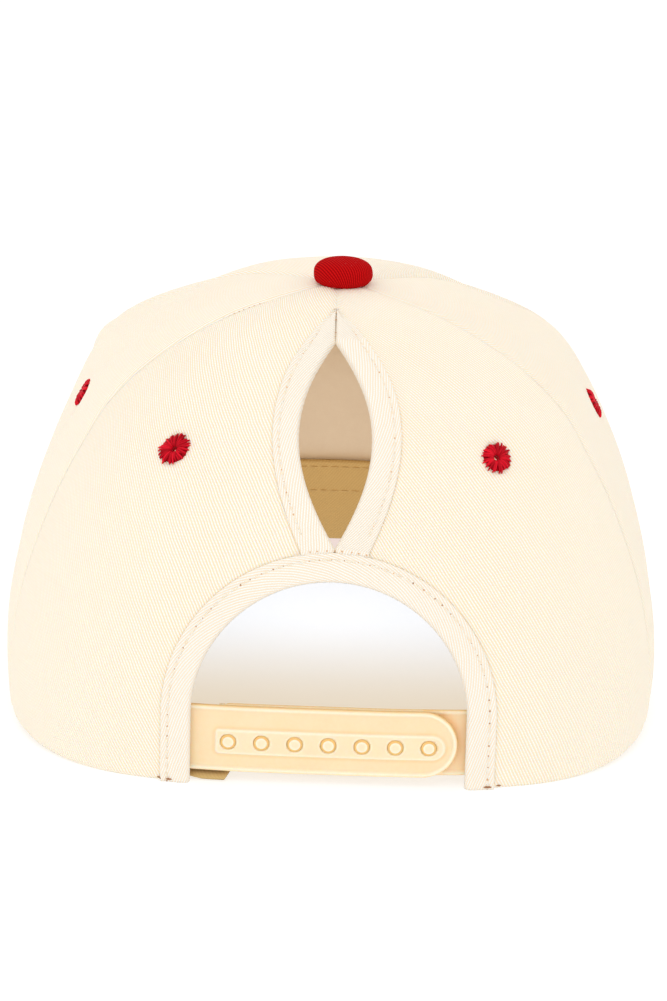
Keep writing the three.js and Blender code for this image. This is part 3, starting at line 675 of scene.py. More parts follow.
def dots_along(work, line, normals, pitch, radius, rng, chance=1.0, tint=(0.0, 1.0)):
    """Small flat dots along a line, about a pitch apart, each with its own tint."""
    lengths = measured(line)
    count = max(round(lengths[-1] / pitch), 1)
    layer = work.verts.layers.float["tint"]
    for k in range(count + 1):
        size = radius * rng.uniform(0.6, 1.15)
        at = np.clip((k + rng.uniform(-0.12, 0.12)) / count, 0, 1) * lengths[-1]
        if rng.random() > chance:
            continue
        pose = upright(read_at(lengths, line, at), read_at(lengths, normals, at))
        pose = pose @ Matrix.Diagonal((size, size * rng.uniform(0.7, 1.5), size * 0.5, 1))
        made = bmesh.ops.create_uvsphere(work, u_segments=6, v_segments=4, radius=1, matrix=pose)["verts"]
        shade = rng.uniform(*tint)
        for vertex in made:
            vertex[layer] = shade


def add_node(tree, kind, values=(), **settings):
    """A node with its settings and its inputs, each a value or another node's output."""
    made = tree.nodes.new(kind)
    for name, value in settings.items():
        setattr(made, name, value)
    feed(tree, made, dict(values))
    return made


def feed(tree, node, values):
    """Links or sets a node's inputs."""
    for socket, value in values.items():
        if isinstance(value, bpy.types.NodeSocket):
            tree.links.new(value, node.inputs[socket])
        else:
            node.inputs[socket].default_value = value


def math_node(tree, operation, *values):
    """A Math node's output."""
    return add_node(tree, "ShaderNodeMath", enumerate(values), operation=operation).outputs[0]


def multiply_add(tree, *values):
    """A product plus a third value, kept from 0 to 1."""
    kind = dict(operation="MULTIPLY_ADD", use_clamp=True)
    return add_node(tree, "ShaderNodeMath", enumerate(values), **kind).outputs[0]


def noise_node(tree, place, scale, detail, roughness=0.5):
    """A Noise texture's output."""
    values = {"Vector": place, "Scale": scale, "Detail": detail, "Roughness": roughness}
    return add_node(tree, "ShaderNodeTexNoise", values).outputs[0]


def ramp_node(tree, value, low, high, first=0.0, last=1.0, **settings):
    """A value that goes from first to last while another goes from low to high."""
    values = {"Value": value, "From Min": low, "From Max": high, "To Min": first, "To Max": last}
    return add_node(tree, "ShaderNodeMapRange", values, **settings).outputs[0]


def new_group(name, inputs, outputs):
    """An empty node group with float or vector sockets, and its input and output nodes."""
    group = bpy.data.node_groups.new(name, "ShaderNodeTree")
    for label, kind, value in inputs:
        socket = group.interface.new_socket(label, in_out="INPUT", socket_type=kind)
        if value is not None:
            socket.default_value = value
    for label, kind in outputs:
        group.interface.new_socket(label, in_out="OUTPUT", socket_type=kind)
    return group, group.nodes.new("NodeGroupInput"), group.nodes.new("NodeGroupOutput")


def twill_group():
    """Diagonal ribs of twill on flat cloth coordinates: a rib mask, a height and a slow mottle."""
    name = "twill weave"
    if name in bpy.data.node_groups:
        return bpy.data.node_groups[name]
    inputs = (
        ("Cloth", "NodeSocketVector", None),
        ("Pitch", "NodeSocketFloat", 0.0008),
        ("Turn", "NodeSocketFloat", 0.0),
        ("Wander", "NodeSocketFloat", 0.16),
    )
    outputs = (("Rib", "NodeSocketFloat"), ("Height", "NodeSocketFloat"), ("Mottle", "NodeSocketFloat"))
    group, given, result = new_group(name, inputs, outputs)
    cloth, pitch, turn, wander = (given.outputs[label] for label, _, _ in inputs)
    calculate = partial(math_node, group)
    values = {"Vector": cloth, "Angle": calculate("MULTIPLY", turn, -1.0)}
    turned = add_node(group, "ShaderNodeVectorRotate", values, rotation_type="Z_AXIS")
    place = add_node(group, "ShaderNodeSeparateXYZ", {0: turned.outputs[0]})
    # The ribs wander to both sides of their even places
    drift = calculate("SUBTRACT", noise_node(group, cloth, 130.0, 2.0), 0.5)
    sway = calculate("MULTIPLY", drift, calculate("MULTIPLY", wander, 6.0))
    across = calculate("ADD", calculate("DIVIDE", place.outputs["X"], pitch), sway)
    wave = calculate("COSINE", calculate("MULTIPLY", across, 2 * math.pi))
    rib = calculate("POWER", calculate("MULTIPLY_ADD", wave, 0.5, 0.5), 0.75)
    # Along a rib the yarn goes over and under; each rib starts a little farther on than the last
    rib_number = calculate("FLOOR", calculate("ADD", across, 0.5))
    run = calculate("DIVIDE", place.outputs["Y"], calculate("MULTIPLY", pitch, 1.15))
    run = calculate("MULTIPLY_ADD", rib_number, 0.37, run)
    crossing = calculate("COSINE", calculate("MULTIPLY", run, 2 * math.pi))
    yarn = calculate("MULTIPLY_ADD", calculate("MULTIPLY_ADD", crossing, 0.5, 0.5), 0.3, 0.7)
    weave = calculate("MULTIPLY", rib, yarn)
    fuzz = noise_node(group, cloth, 2600.0, 2.0, 0.6)
    feed(group, result, {
        "Rib": weave,
        "Height": calculate("MULTIPLY_ADD", fuzz, 0.25, weave),
        "Mottle": noise_node(group, cloth, 45.0, 3.0, 0.55),
    })
    return group


def grain_group():
    """Fine grain on object coordinates for thread and plastic: a mask and a height."""
    name = "fine grain"
    if name in bpy.data.node_groups:
        return bpy.data.node_groups[name]
    inputs = (("Place", "NodeSocketVector", None), ("Size", "NodeSocketFloat", 0.001))
    outputs = (("Mask", "NodeSocketFloat"), ("Height", "NodeSocketFloat"))
    group, given, result = new_group(name, inputs, outputs)
    place, size = (given.outputs[label] for label, _, _ in inputs)
    scale = math_node(group, "DIVIDE", 1.0, size)
    fine = noise_node(group, place, scale, 3.0, 0.6)
    slow = noise_node(group, place, math_node(group, "MULTIPLY", scale, 0.15), 2.0)
    half = math_node(group, "MULTIPLY", fine, 0.5)
    mask = math_node(group, "MULTIPLY_ADD", slow, 0.5, half)
    feed(group, result, {"Mask": mask, "Height": fine})
    return group


def mixed(tree, part, first, second):
    """A colour between two, each a colour or another node's output."""
    sockets = bpy.types.NodeSocket
    ends = [end if isinstance(end, sockets) else (*end, 1.0) for end in (first, second)]
    values = {"Factor": part, 6: ends[0], 7: ends[1]}
    return add_node(tree, "ShaderNodeMix", values, data_type="RGBA").outputs[2]


def cover(tree, tone, height, strength, depth, roughness, specular, glow_weight, glow_reach):
    """Sets a shader's colour, bump and gloss, and how far light passes into it, red the farthest."""
    bump = add_node(tree, "ShaderNodeBump", {"Height": height, "Strength": strength, "Distance": depth})
    shader = tree.nodes["Principled BSDF"]
    feed(tree, shader, {
        "Base Color": tone,
        "Normal": bump.outputs[0],
        "Roughness": roughness,
        "Specular IOR Level": specular,
        "Subsurface Weight": glow_weight,
        "Subsurface Radius": (1.0, 0.55, 0.3),
        "Subsurface Scale": glow_reach,
    })
    return shader


def new_material(name):
    material = bpy.data.materials.new(name)
    material.use_nodes = True
    return material, material.node_tree


def twill_material(name, high, low, pitch, turn, sheen=0.1, depth=0.00016, roughness=0.92, specular=0.15,
                   glow=0.3, fade=1.0, peak=1.0):
    """Cotton twill: ribs painted lighter and furrows painted darker, painted highlight and shade of the
    weave's relief, and a slow mottle. Rib contrast goes from peak to fade.
    """
    if name in bpy.data.materials:
        return bpy.data.materials[name]
    material, tree = new_material(name)
    cloth = add_node(tree, "ShaderNodeUVMap", uv_map="cloth").outputs[0]
    weave = add_node(tree, "ShaderNodeGroup", node_tree=twill_group())
    feed(tree, weave, {"Cloth": cloth, "Pitch": pitch, "Turn": turn})
    object_place = add_node(tree, "ShaderNodeTexCoord").outputs["Object"]
    place = add_node(tree, "ShaderNodeSeparateXYZ", {0: object_place})
    aside = math_node(tree, "ABSOLUTE", place.outputs["X"])
    contrast = ramp_node(tree, aside, 0.04, 0.072, peak, fade)
    mottle = math_node(tree, "MULTIPLY_ADD", weave.outputs["Mottle"], 0.14, -0.07)
    rib = math_node(tree, "ADD", weave.outputs["Rib"], mottle)
    rib = math_node(tree, "SUBTRACT", rib, 0.5)
    # Painted light and shade of the weave: the rib mask goes from the furrows' painted shade to the ribs'
    # lighter colour
    tone = mixed(tree, multiply_add(tree, rib, contrast, 0.5), low, high)
    height = weave.outputs["Height"]
    shader = cover(tree, tone, height, 0.8, depth, roughness, specular, glow, glow_reach=0.001)
    feed(tree, shader, {"Sheen Weight": sheen, "Sheen Roughness": 0.5})
    return material


def grain_material(name, high, low, size, depth, roughness, specular=0.4, glow=0.0, tinted=False,
                   speckle=0.3):
    """Thread, plastic or floor: a fine grain, and a colour that varies with it or with a tint."""
    if name in bpy.data.materials:
        return bpy.data.materials[name]
    material, tree = new_material(name)
    place = add_node(tree, "ShaderNodeTexCoord").outputs["Object"]
    grain = add_node(tree, "ShaderNodeGroup", node_tree=grain_group())
    feed(tree, grain, {"Place": place, "Size": size})
    part = ramp_node(tree, grain.outputs["Mask"], 0.35, 0.65)
    if tinted:
        tint = add_node(tree, "ShaderNodeAttribute", attribute_name="tint").outputs["Fac"]
        part = multiply_add(tree, part, speckle, math_node(tree, "MULTIPLY", tint, 1 - speckle))
    tone = mixed(tree, part, low, high)
    cover(tree, tone, grain.outputs["Height"], 0.5, depth, roughness, specular, glow, glow_reach=0.0015)
    return material


def panel_twill(looks):
    return twill_material("cream twill", looks.cream, looks.cream_low, looks.rib_pitch, looks.rib_turn,
                          glow=0.12, fade=0.45, peak=1.4)


def tape_twill(looks):
    return twill_material("cream tape", looks.tape, looks.tape_low, looks.tape_pitch, looks.tape_turn,
                          glow=0.0)


def crown_lining(looks):
    return grain_material("crown lining", looks.lining, looks.lining_low, size=0.0005, depth=0.00004,
                          roughness=0.95, specular=0.05)


def red_twill(looks):
    return twill_material("red twill", looks.red, looks.red_low, looks.red_pitch, looks.rib_turn,
                          sheen=0.0, roughness=0.85, specular=0.02, glow=0.0)


def cream_thread(looks):
    return grain_material("cream thread", looks.thread, looks.tape_low, size=0.0003, depth=0.00005,
                          roughness=0.7, glow=0.2)


def plastic(looks):
    return grain_material("snap plastic", looks.snap_painted_highlight, looks.snap, size=0.0012, depth=0.00002,
                          roughness=0.36, specular=0.5, glow=0.35, tinted=True, speckle=0.08)


def hem_roll(shape, point):
    """The folded hem: the last of the cloth curls in a little."""
    tall = 0.0016
    near = np.clip(1 - (point[..., 2] - point[..., 2].min(axis=0)) / tall, 0, 1)
    return shape.crown.cloth * 0.45 * curl_in(near)


def seam_dip(shape, away):
    """How far the cloth dips at a distance from its seam."""
    return shape.crown.seam_depth * bell(away, shape.crown.seam_reach)


def crowded(part, strength=0.55):
    """Moves even shares closer together at both ends."""
    return mix(part, (1 - np.cos(math.pi * part)) / 2, strength)


class Panels:
    """The five panels of the crown. They end at the section share top, under the button."""

    top = 0.996
    wall_share = 0.85

    def __init__(self, cap):
        self.shape = CapShape(cap)
        self.cap = cap
        self.material = panel_twill(cap.looks)

    def make(self, name, node, along, turn, away, middle, extra=0.0, eyelets=(), sweep=0.0):
        shape = self.shape
        inset = seam_dip(shape, away) + hem_roll(shape, shape.dome(along, turn)) + extra
        points = shape.surface(along, turn, inset)
        # The cloth is open behind the middle of each eyelet
        hole = self.cap.trim.eyelet_radius * 0.45
        keep = np.full(along.shape, True)
        for place in eyelets:
            keep &= np.linalg.norm(points - shape.surface(*place), axis=-1) > hole
        flat = shape.lay(along, turn, middle, sweep)
        piece = grid_piece(name, points, flat, self.material, [node], keep)
        piece.data.materials.append(crown_lining(self.cap.looks))
        wall = thicken(piece, shape.crown.cloth * self.wall_share).modifiers["thickness"]
        wall.material_offset = 1
        return piece

    def wedge(self, name, node, start, stop, columns, rows, eyelets=()):
        """A panel between two seams."""
        u, v = squares(columns, rows)
        along = v * self.top
        turn = mix(start, stop, crowded(u))
        span = self.shape.dome(along, turn)
        radius = np.hypot(span[..., 0], span[..., 1])
        away = radius * np.minimum(turn - start, stop - turn)
        return self.make(name, node, along, turn, away, (start + stop) / 2, eyelets=eyelets)

    def levels(self, rows):
        """Lengths up the cloth of a back panel's rows: even round the arch's curve."""
        shape, sizes = self.shape, self.shape.openings
        legs = np.linspace(0, sizes.arch_legs, rows // 6 + 1)[:-1]
        crest = math.pi / 2 - 0.21
        tall = sizes.arch_crown + sizes.tape
        bow = sizes.arch_legs + tall * np.sin(np.linspace(0, crest, rows // 2 + 1)[:-1])
        top = np.interp(self.top, shape.shares, shape.lengths)
        rest = rows - len(legs) - len(bow)
        above = np.linspace(sizes.arch_legs + tall * math.sin(crest), top, rest + 1)
        return np.concatenate([legs, bow, above])

    def back(self, side, columns, rows, sweep):
        """A back panel. Its edge runs in under the tapes of the arch and the slot by the length under."""
        shape, sizes = self.shape, self.shape.openings
        under = 0.0028
        u, _ = squares(columns, rows)
        level = np.broadcast_to(self.levels(rows)[:, None], u.shape)
        along = shape.along_at_length(level)
        middle = side * shape.slot_middle(level)
        outer = shape.slot_outer(level, side)
        slot = middle + np.where(level < shape.tape_top, np.maximum(outer - under, 0), 0)
        arch = shape.arch_half_at(level, sizes.tape - under)
        edge = np.where(level < shape.arch_top + sizes.tape - under, np.maximum(arch, slot), slot)
        start = shape.turn_at_x(along, edge)
        stop = shape.crown.back_seam
        turn = mix(start, stop, crowded(u**1.1, 0.4))
        dome = shape.dome(along, turn)
        x = dome[..., 0]
        # The centre seam dips the cloth only above the tapes; under their tip it counts as far off
        fade = 0.003
        centre = x - middle + 0.05 * (1 - smooth((level - shape.tape_top + fade) / fade))
        away = np.minimum(np.hypot(x, dome[..., 1]) * (stop - turn), centre)
        wide, tall = sizes.arch_half + sizes.tape, sizes.arch_crown + sizes.tape
        bow = np.hypot(x / wide, np.maximum(level - sizes.arch_legs, 0) / tall)
        from_slot = np.where(level < shape.tape_top, x - middle - outer, 1)
        from_tape = np.minimum((bow - 1) * min(wide, tall), from_slot)
        # The tapes press in the cloth under them
        tuck = 0.0004 * (1 - smooth(from_tape / 0.0009 + 0.35))
        trim = self.cap.trim
        eyelet = (trim.back_along, trim.back_turn if side > 0 else other_side(trim.back_turn))
        centre_line = (stop - math.pi / 2) / 2
        if side < 0:
            along, turn, away, tuck = (values[:, ::-1] for values in (along, turn, away, tuck))
            turn, centre_line = other_side(turn), other_side(centre_line)
        name = "right" if side > 0 else "left"
        return self.make(f"back_cloth_{name}", f"back_panel_{name}", along, turn, away, centre_line,
                         tuck, [eyelet], sweep)


class CAP_OT_panels(bpy.types.Operator):
    """Makes the crown's five twill panels"""
    bl_idname = "cap.panels"
    bl_label = "Panels"

    def execute(self, context):
        cap = context.scene.cap
        panels = Panels(cap)
        crown, trim = cap.crown, cap.trim
        front, back = crown.front_seam, crown.back_seam
        panels.wedge("front_cloth", "front_panel", front, math.pi - front, 120, 110)
        side = [(trim.side_along, trim.side_turn)]
        far_side = [(trim.side_along, other_side(trim.side_turn))]
        panels.wedge("side_cloth_right", "side_panel_right", back, front, 90, 110, side)
        start, stop = other_side(front), other_side(back)
        panels.wedge("side_cloth_left", "side_panel_left", start, stop, 90, 110, far_side)
        panels.back(1, 90, 130, sweep=0.8)
        panels.back(-1, 90, 130, sweep=-2.6)
        return {"FINISHED"}


class Tapes:
    """The folded tapes round the arch and the slot, with their stitches."""

    def __init__(self, cap):
        self.shape = CapShape(cap)
        self.cap = cap
        self.keys = np.linspace(0, 1, len(TAPE_SECTION))
        self.rows = [[row["across"], row["off"], row["inside"]] for row in TAPE_SECTION]

    def section(self, part):
        """Across and depth of the tape's skin, from its inner edge round to its outer edge."""
        values = through(self.keys, self.rows, part)
        off = values[..., 1] * self.shape.openings.proud
        inside = smooth(values[..., 2])
        return values[..., 0], mix(-off, self.shape.crown.cloth + off, inside)

    def arch_edges(self, v):
        """Inner and outer edge of the arch's tape, up its right leg and over to its left foot."""
        sizes = self.shape.openings
        bow = math.pi * (sizes.arch_half + sizes.arch_crown + sizes.tape) / 2
        leg = sizes.arch_legs / (2 * sizes.arch_legs + bow)
        turn = math.pi * np.clip((v - leg) / (1 - 2 * leg), 0, 1)
        rise = np.clip(np.minimum(v, 1 - v) / leg, 0, 1)

        def edge(width):
            return np.stack([
                (sizes.arch_half + width) * np.cos(turn),
                sizes.arch_legs * rise + (sizes.arch_crown + width) * np.sin(turn),
            ], -1)
        return edge(0), edge(sizes.tape)

    def slot_edges(self, side, v):
        """Inner and outer edge of one of the slot's tapes, from the arch up to its tip."""
        shape = self.shape
        sizes = shape.openings
        start = shape.arch_top + sizes.tape
        corner = shape.slot_outer(start, side)
        corner_level = shape.arch_height_at(corner, sizes.tape)
        outer_level = mix(corner_level, shape.tape_top, v)
        inner_level = mix(start, shape.tape_top, v)
        half = side * shape.slot_outer(outer_level, side)
        outer = np.stack([half + shape.slot_middle(outer_level), outer_level], -1)
        close = 0.00004
        half = side * np.maximum(shape.slot_inner(inner_level), close)
        inner = np.stack([half + shape.slot_middle(inner_level), inner_level], -1)
        return inner, outer

    def tape(self, name, node, edges, columns, rows, mirrored=False):
        part, v = squares(columns, rows)
        inner, outer = edges(v)
        across, depth = self.section(1 - part if mirrored else part)
        place = mix(inner, outer, across[..., None])
        points = self.shape.back(place[..., 0], place[..., 1], depth)
        material = tape_twill(self.cap.looks)
        piece = grid_piece(name, points, measured_lay(points), material, [node])
        return thicken(piece, self.shape.openings.tape_cloth)

    def stitch_line(self, edges, start, stop):
        """Line of the stitches on the tape's outer face, with the normals there."""
        sizes = self.shape.openings
        inner, outer = edges(np.linspace(start, stop, 500))
        x, level = mix(inner, outer, 1 - self.cap.trim.stitch_inset / sizes.tape).T
        return self.shape.back_line(x, level, -0.6 * sizes.proud)


class CAP_OT_tapes(bpy.types.Operator):
    """Makes the folded tapes of the arch and the ponytail slot, with their stitches and needle marks"""
    bl_idname = "cap.tapes"
    bl_label = "Tapes"

    def execute(self, context):
        cap = context.scene.cap
        looks, trim = cap.looks, cap.trim
        tapes = Tapes(cap)
        right, left = partial(tapes.slot_edges, 1), partial(tapes.slot_edges, -1)
        tapes.tape("arch_tape", "arch_binding", tapes.arch_edges, 44, 240)
        tapes.tape("slot_tape_right", "ponytail_binding_right", right, 40, 130)
        tapes.tape("slot_tape_left", "ponytail_binding_left", left, 40, 130, mirrored=True)
        rng = np.random.default_rng(11)
        sewn, marks = bmesh.new(), tinted_mesh()
        on_arch = dict(radius=0.00027, rng=rng, chance=0.75, tint=(0.1, 1.0))
        on_slot = dict(radius=0.00024, rng=rng, chance=0.5, tint=(0.75, 1.2))
        for edges, start, stop, dots in (
            (tapes.arch_edges, 0.0, 1.0, on_arch),
            (right, 0.06, 0.88, on_slot),
            (left, 0.06, 0.88, on_slot),
        ):
            line, normals = tapes.stitch_line(edges, start, stop)
            stitch_row(sewn, line, normals, trim)
            dots_along(marks, line, normals, trim.stitch, **dots)
        self.loose_marks(cap, tapes.shape, marks, rng)
        mesh_piece("tape_stitches", sewn, cream_thread(looks))
        brown = grain_material("needle mark thread", looks.mark, looks.tack, size=0.0003, depth=0.00003,
                               roughness=0.8, tinted=True)
        mesh_piece("needle_marks", marks, brown)
        return {"FINISHED"}

    def loose_marks(self, cap, shape, marks, rng):
        """Marks off the rows: on the centre seam, at the slot's foot, on a side seam and at the hem."""
        sizes = cap.openings
        proud = sizes.proud
        level = np.linspace(shape.slot_bottom + sizes.slot_length + 0.0006, shape.tape_top, 60)
        middle = shape.slot_middle(level)
        dots_along(marks, *shape.back_line(middle, level, -0.8 * proud), pitch=0.0019, radius=0.00025,
                   rng=rng, chance=0.85, tint=(0.5, 1.2))
        x = np.linspace(-0.006, 0.009, 60)
        level = shape.arch_height_at(x, sizes.tape) + 0.0005
        dots_along(marks, *shape.back_line(x, level, -proud), pitch=0.0021, radius=0.00027, rng=rng,
                   tint=(0.5, 1.0))
        along = np.linspace(0.93, 0.89, 30)
        turn = np.full(30, other_side(cap.crown.back_seam))
        dots_along(marks, shape.surface(along, turn, 0.0003), shape.normal(along, turn), pitch=0.0017,
                   radius=0.0002, rng=rng, tint=(0.4, 1.0))
        # Tacks at the hem, by the outer edges of the tape: place off the middle, and width
        for place, width in ((-0.0446, 0.0014), (-0.0419, 0.0018), (0.0426, 0.0024), (0.0457, 0.0014)):
            x = place + width * np.linspace(-0.5, 0.5, 6)
            level = np.full(6, 0.0008)
            inset = np.where(np.abs(x) < sizes.arch_half + sizes.tape, -proud, 0.0001)
            strand(marks, *shape.back_line(x, level, inset), thickness=0.0005, tint=0.0)


class CAP_OT_eyelets(bpy.types.Operator):
    """Makes the four embroidered eyelets"""
    bl_idname = "cap.eyelets"
    bl_label = "Eyelets"

    def execute(self, context):
        cap = context.scene.cap
        trim = cap.trim
        places = {
            "back_right": (trim.back_along, trim.back_turn),
            "back_left": (trim.back_along, other_side(trim.back_turn)),
            "side_right": (trim.side_along, trim.side_turn),
            "side_left": (trim.side_along, other_side(trim.side_turn)),
        }
        for seed, (name, (along, turn)) in enumerate(places.items()):
            embroider(cap, name, along, turn, np.random.default_rng(20 + seed))
        return {"FINISHED"}


def embroider(cap, name, along, turn, rng):
    """One eyelet: a padded ring under strands of thread from its hole out into the cloth."""
    shape, trim, looks = CapShape(cap), cap.trim, cap.looks
    along, turn = np.array(along), np.array(turn)
    centre = shape.surface(along, turn)
    up = shape.normal(along, turn)
    east = unit(np.cross([0.0, 0.0, 1.0], up))
    north = np.cross(up, east)
    work = tinted_mesh()
    padding(work, centre, up, trim, shape.crown.cloth)
    # Radius as a share of the ring's width and height as a share of its proud height, along a strand
    reach = np.array([0.0, 0.03, 0.14, 0.34, 0.6, 0.82, 0.95, 1.0])
    lift = np.array([-1.4, -0.2, 0.62, 1.0, 0.98, 0.7, 0.25, -0.3])
    for inside, strands in ((False, trim.eyelet_strands), (True, trim.eyelet_strands * 2 // 3)):
        for k in range(strands):
            spoke = 2 * math.pi * (k + rng.uniform(-0.3, 0.3)) / strands
            # The ring is a little oval, and it leans
            oval = 1 + 0.09 * math.cos(2 * (spoke - math.pi / 4))
            ring = trim.eyelet_radius * oval * rng.uniform(0.88, 1.1) - trim.eyelet_hole
            radius = trim.eyelet_hole + reach * ring
            lean = spoke + reach * rng.uniform(-0.1, 0.2)
            height = lift * trim.eyelet_proud * rng.uniform(0.75, 1.15)
            flat = radius[:, None] * (np.cos(lean)[:, None] * east + np.sin(lean)[:, None] * north)
            rise = -shape.crown.cloth - height if inside else height
            line = centre + flat + rise[:, None] * up
            facing = np.tile(-up if inside else up, (len(line), 1))
            strand(work, line, facing, thickness=0.00058, tint=rng.random())
    silk = grain_material("red embroidery", looks.silk, looks.silk_low, size=0.0004, depth=0.00005,
                          roughness=0.45, specular=0.08, tinted=True)
    mesh_piece(f"eyelet_thread_{name}", work, silk, [f"eyelet_{name}"])


def padding(work, centre, up, trim, cloth):
    """The padded ring under an eyelet's strands, spun round the eyelet's axis."""
    inner, outer = trim.eyelet_hole * 1.1, trim.eyelet_radius * 0.9
    high = trim.eyelet_proud * 0.55
    outline = (
        (inner, -cloth * 0.5), (inner, high * 0.3), (mix(inner, outer, 0.3), high),
        (mix(inner, outer, 0.65), high), (outer, high * 0.1), (outer, -cloth - high * 0.1),
        (mix(inner, outer, 0.65), -cloth - high), (mix(inner, outer, 0.3), -cloth - high),
    )
    spin_outline(work, outline, 24, closed=True, place=upright(centre, up))


def upright(centre, up):
    """The pose of something that stands on a surface at a point with its +Z along up."""
    return Matrix.Translation(Vector(centre)) @ Vector(up).to_track_quat("Z", "Y").to_matrix().to_4x4()


def nearest_corner(outline, place):
    """Which corner of a spun outline a vertex belongs to."""
    spread = math.hypot(place.x, place.y)
    return int(np.argmin(np.hypot(outline[:, 0] - spread, outline[:, 1] - place.z)))


def spin_outline(work, outline, steps, closed=False, place=None):
    """Spins an outline of radius and height round +Z, and returns its vertices."""
    corners = [work.verts.new((radius, 0, height)) for radius, height in outline]
    edges = [work.edges.new(pair) for pair in zip(corners, corners[1:])]
    if closed:
        edges.append(work.edges.new((corners[-1], corners[0])))
    before = set(work.verts) - set(corners)
    bmesh.ops.spin(work, geom=corners + edges, cent=(0, 0, 0), axis=(0, 0, 1), dvec=(0, 0, 0),
                   angle=2 * math.pi, steps=steps, use_merge=True, use_duplicate=False)
    made = [vertex for vertex in work.verts if vertex not in before]
    bmesh.ops.remove_doubles(work, verts=made, dist=1e-7)
    made = [vertex for vertex in work.verts if vertex not in before]
    faces = list({face for vertex in made for face in vertex.link_faces})
    bmesh.ops.recalc_face_normals(work, faces=faces)
    if place is not None:
        bmesh.ops.transform(work, matrix=place, verts=made)
    return made


class CAP_OT_button(bpy.types.Operator):
    """Makes the covered button with its stem and the plate inside the crown"""
    bl_idname = "cap.button"
    bl_label = "Button"

    def execute(self, context):
        cap = context.scene.cap
        trim, crown = cap.trim, cap.crown
        radius, height = trim.button_radius, trim.button_height
        widest = height * 0.3
        low = -trim.button_skirt
        outline = []
        # A flattened dome from its top to its widest level, then a side that draws in to the lower edge
        for turn in np.linspace(0, math.pi / 2, 24):
            rise = max(math.cos(turn), 0) ** 0.68
            outline.append((radius * math.sin(turn) ** 0.82, mix(widest, height, rise)))
        for part in np.linspace(0, 1, 9)[1:]:
            outline.append((radius * (1 - 0.13 * part**2.4), mix(widest, low, part)))
        under = -crown.cloth - 0.0003
        plate_top = under - 0.0004
        plate_foot = plate_top - trim.plate_thickness
        outline += [
            (trim.button_stem, low + 0.0006),
            (trim.button_stem, under),
            (trim.button_plate, plate_top),
            (trim.button_plate, plate_foot),
            (0, plate_foot),
        ]
        work = bmesh.new()
        made = spin_outline(work, outline, 72)
        # Gathers round the lower rim, where the cloth is pulled under
        for vertex in made:
            spread = math.hypot(vertex.co.x, vertex.co.y)
            if spread > radius * 0.5 and vertex.co.z > low - 0.0001:
                around = math.atan2(vertex.co.y, vertex.co.x)
                gathered = float(smooth(1 - vertex.co.z / (height * 0.6)))
                pleat = math.cos(around * 13) + 0.6 * math.cos(around * 22 + 1)
                vertex.co.xy *= 1 + 0.01 * gathered * pleat
        radii = np.array(outline)
        lengths = measured(radii)
        layer = work.loops.layers.uv.new("cloth")
        for vertex in work.verts:
            out = lengths[nearest_corner(radii, vertex.co)]
            around = math.atan2(vertex.co.y, vertex.co.x)
            for loop in vertex.link_loops:
                loop[layer].uv = (out * math.cos(around), out * math.sin(around))
        place = Vector(CapShape(cap).axis)
        place += Vector((trim.button_aside, 0, crown.height + trim.button_lift))
        bmesh.ops.translate(work, vec=place, verts=work.verts[:])
        mesh_piece("covered_button", work, red_twill(cap.looks), ["button"])
        return {"FINISHED"}


class StrapPlan:
    """Places on the snap strap: x from the cap's middle, and height above the strap's lower edge."""

    def __init__(self, cap):
        self.cap, self.sizes = cap, cap.strap
        self.shape = CapShape(cap)
        sizes, openings = self.sizes, cap.openings
        self.depth = cap.crown.cloth + openings.proud + sizes.ridge + sizes.gap
        self.tip = openings.arch_half - sizes.tip_clear
        self.bend = self.tip - sizes.width / 2
        self.track_stop = self.tip - sizes.track_tip
        self.middle = sizes.width / 2 - sizes.snap_drop
        last = self.track_stop - sizes.track_end
        first = last - (sizes.snaps - 1) * sizes.pitch
        self.track_start = first - sizes.track_margin
        self.hidden_end = first - sizes.end_margin
        self.places = [first + k * sizes.pitch for k in range(sizes.snaps)]
        self.left_root = -openings.arch_half - sizes.root
        self.right_root = openings.arch_half + sizes.root

    def inset(self, x):
        half = self.cap.openings.arch_half
        return self.depth - self.sizes.slack * np.clip((x + half) / (2 * half), 0, 1)

    def point(self, x, height, depth):
        return self.shape.back(x, self.sizes.lift + height, self.inset(x) + depth)

    def from_edge(self, x, height, round_tip):
        """Distance in from the strap's outline."""
        half = self.sizes.width / 2
        flat = half - np.abs(height - half)
        if not round_tip:
            return flat
        return np.where(x > self.bend, half - np.hypot(x - self.bend, height - half), flat)

    def bead(self, away):
        """Share of the rim's height at a distance in from the outline."""
        sizes = self.sizes
        return smooth(away / 0.0004) * (1 - smooth((away - sizes.rim * 0.72) / (sizes.rim * 0.5)))

    def rim(self, away):
        """Height of the raised rim at a distance in from the outline; its outer corner is rounded."""
        return self.sizes.ridge * self.bead(away) - 0.00028 * (1 - smooth(away / 0.0003))

    def from_track(self, x, height):
        """Distance out from the raised track: round at the tip, with small corners at the root."""
        sizes = self.sizes
        middle, half = (self.track_start + self.track_stop) / 2, (self.track_stop - self.track_start) / 2
        corner = np.where(x > middle, sizes.track / 2, sizes.track_corner)
        side = np.abs(x - middle) - half + corner
        over = np.abs(height - self.middle) - sizes.track / 2 + corner
        outside = np.hypot(np.maximum(side, 0), np.maximum(over, 0))
        return outside + np.minimum(np.maximum(side, over), 0) - corner


def strap_sheet(columns, rows, plan_of):
    """A flat strap in plan: its grid's vertices go where plan_of says. Its vertices carry a tint."""
    work = tinted_mesh()
    bmesh.ops.create_grid(work, x_segments=columns, y_segments=rows, size=0.5)
    for vertex in work.verts:
        vertex.co = (*plan_of(vertex.co.x + 0.5, vertex.co.y + 0.5), 0)
    bmesh.ops.remove_doubles(work, verts=work.verts[:], dist=1e-6)
    return work


def plan_places(work):
    """Each vertex's place along a flat strap and its height on it."""
    return np.array([vertex.co for vertex in work.verts]).T[:2]


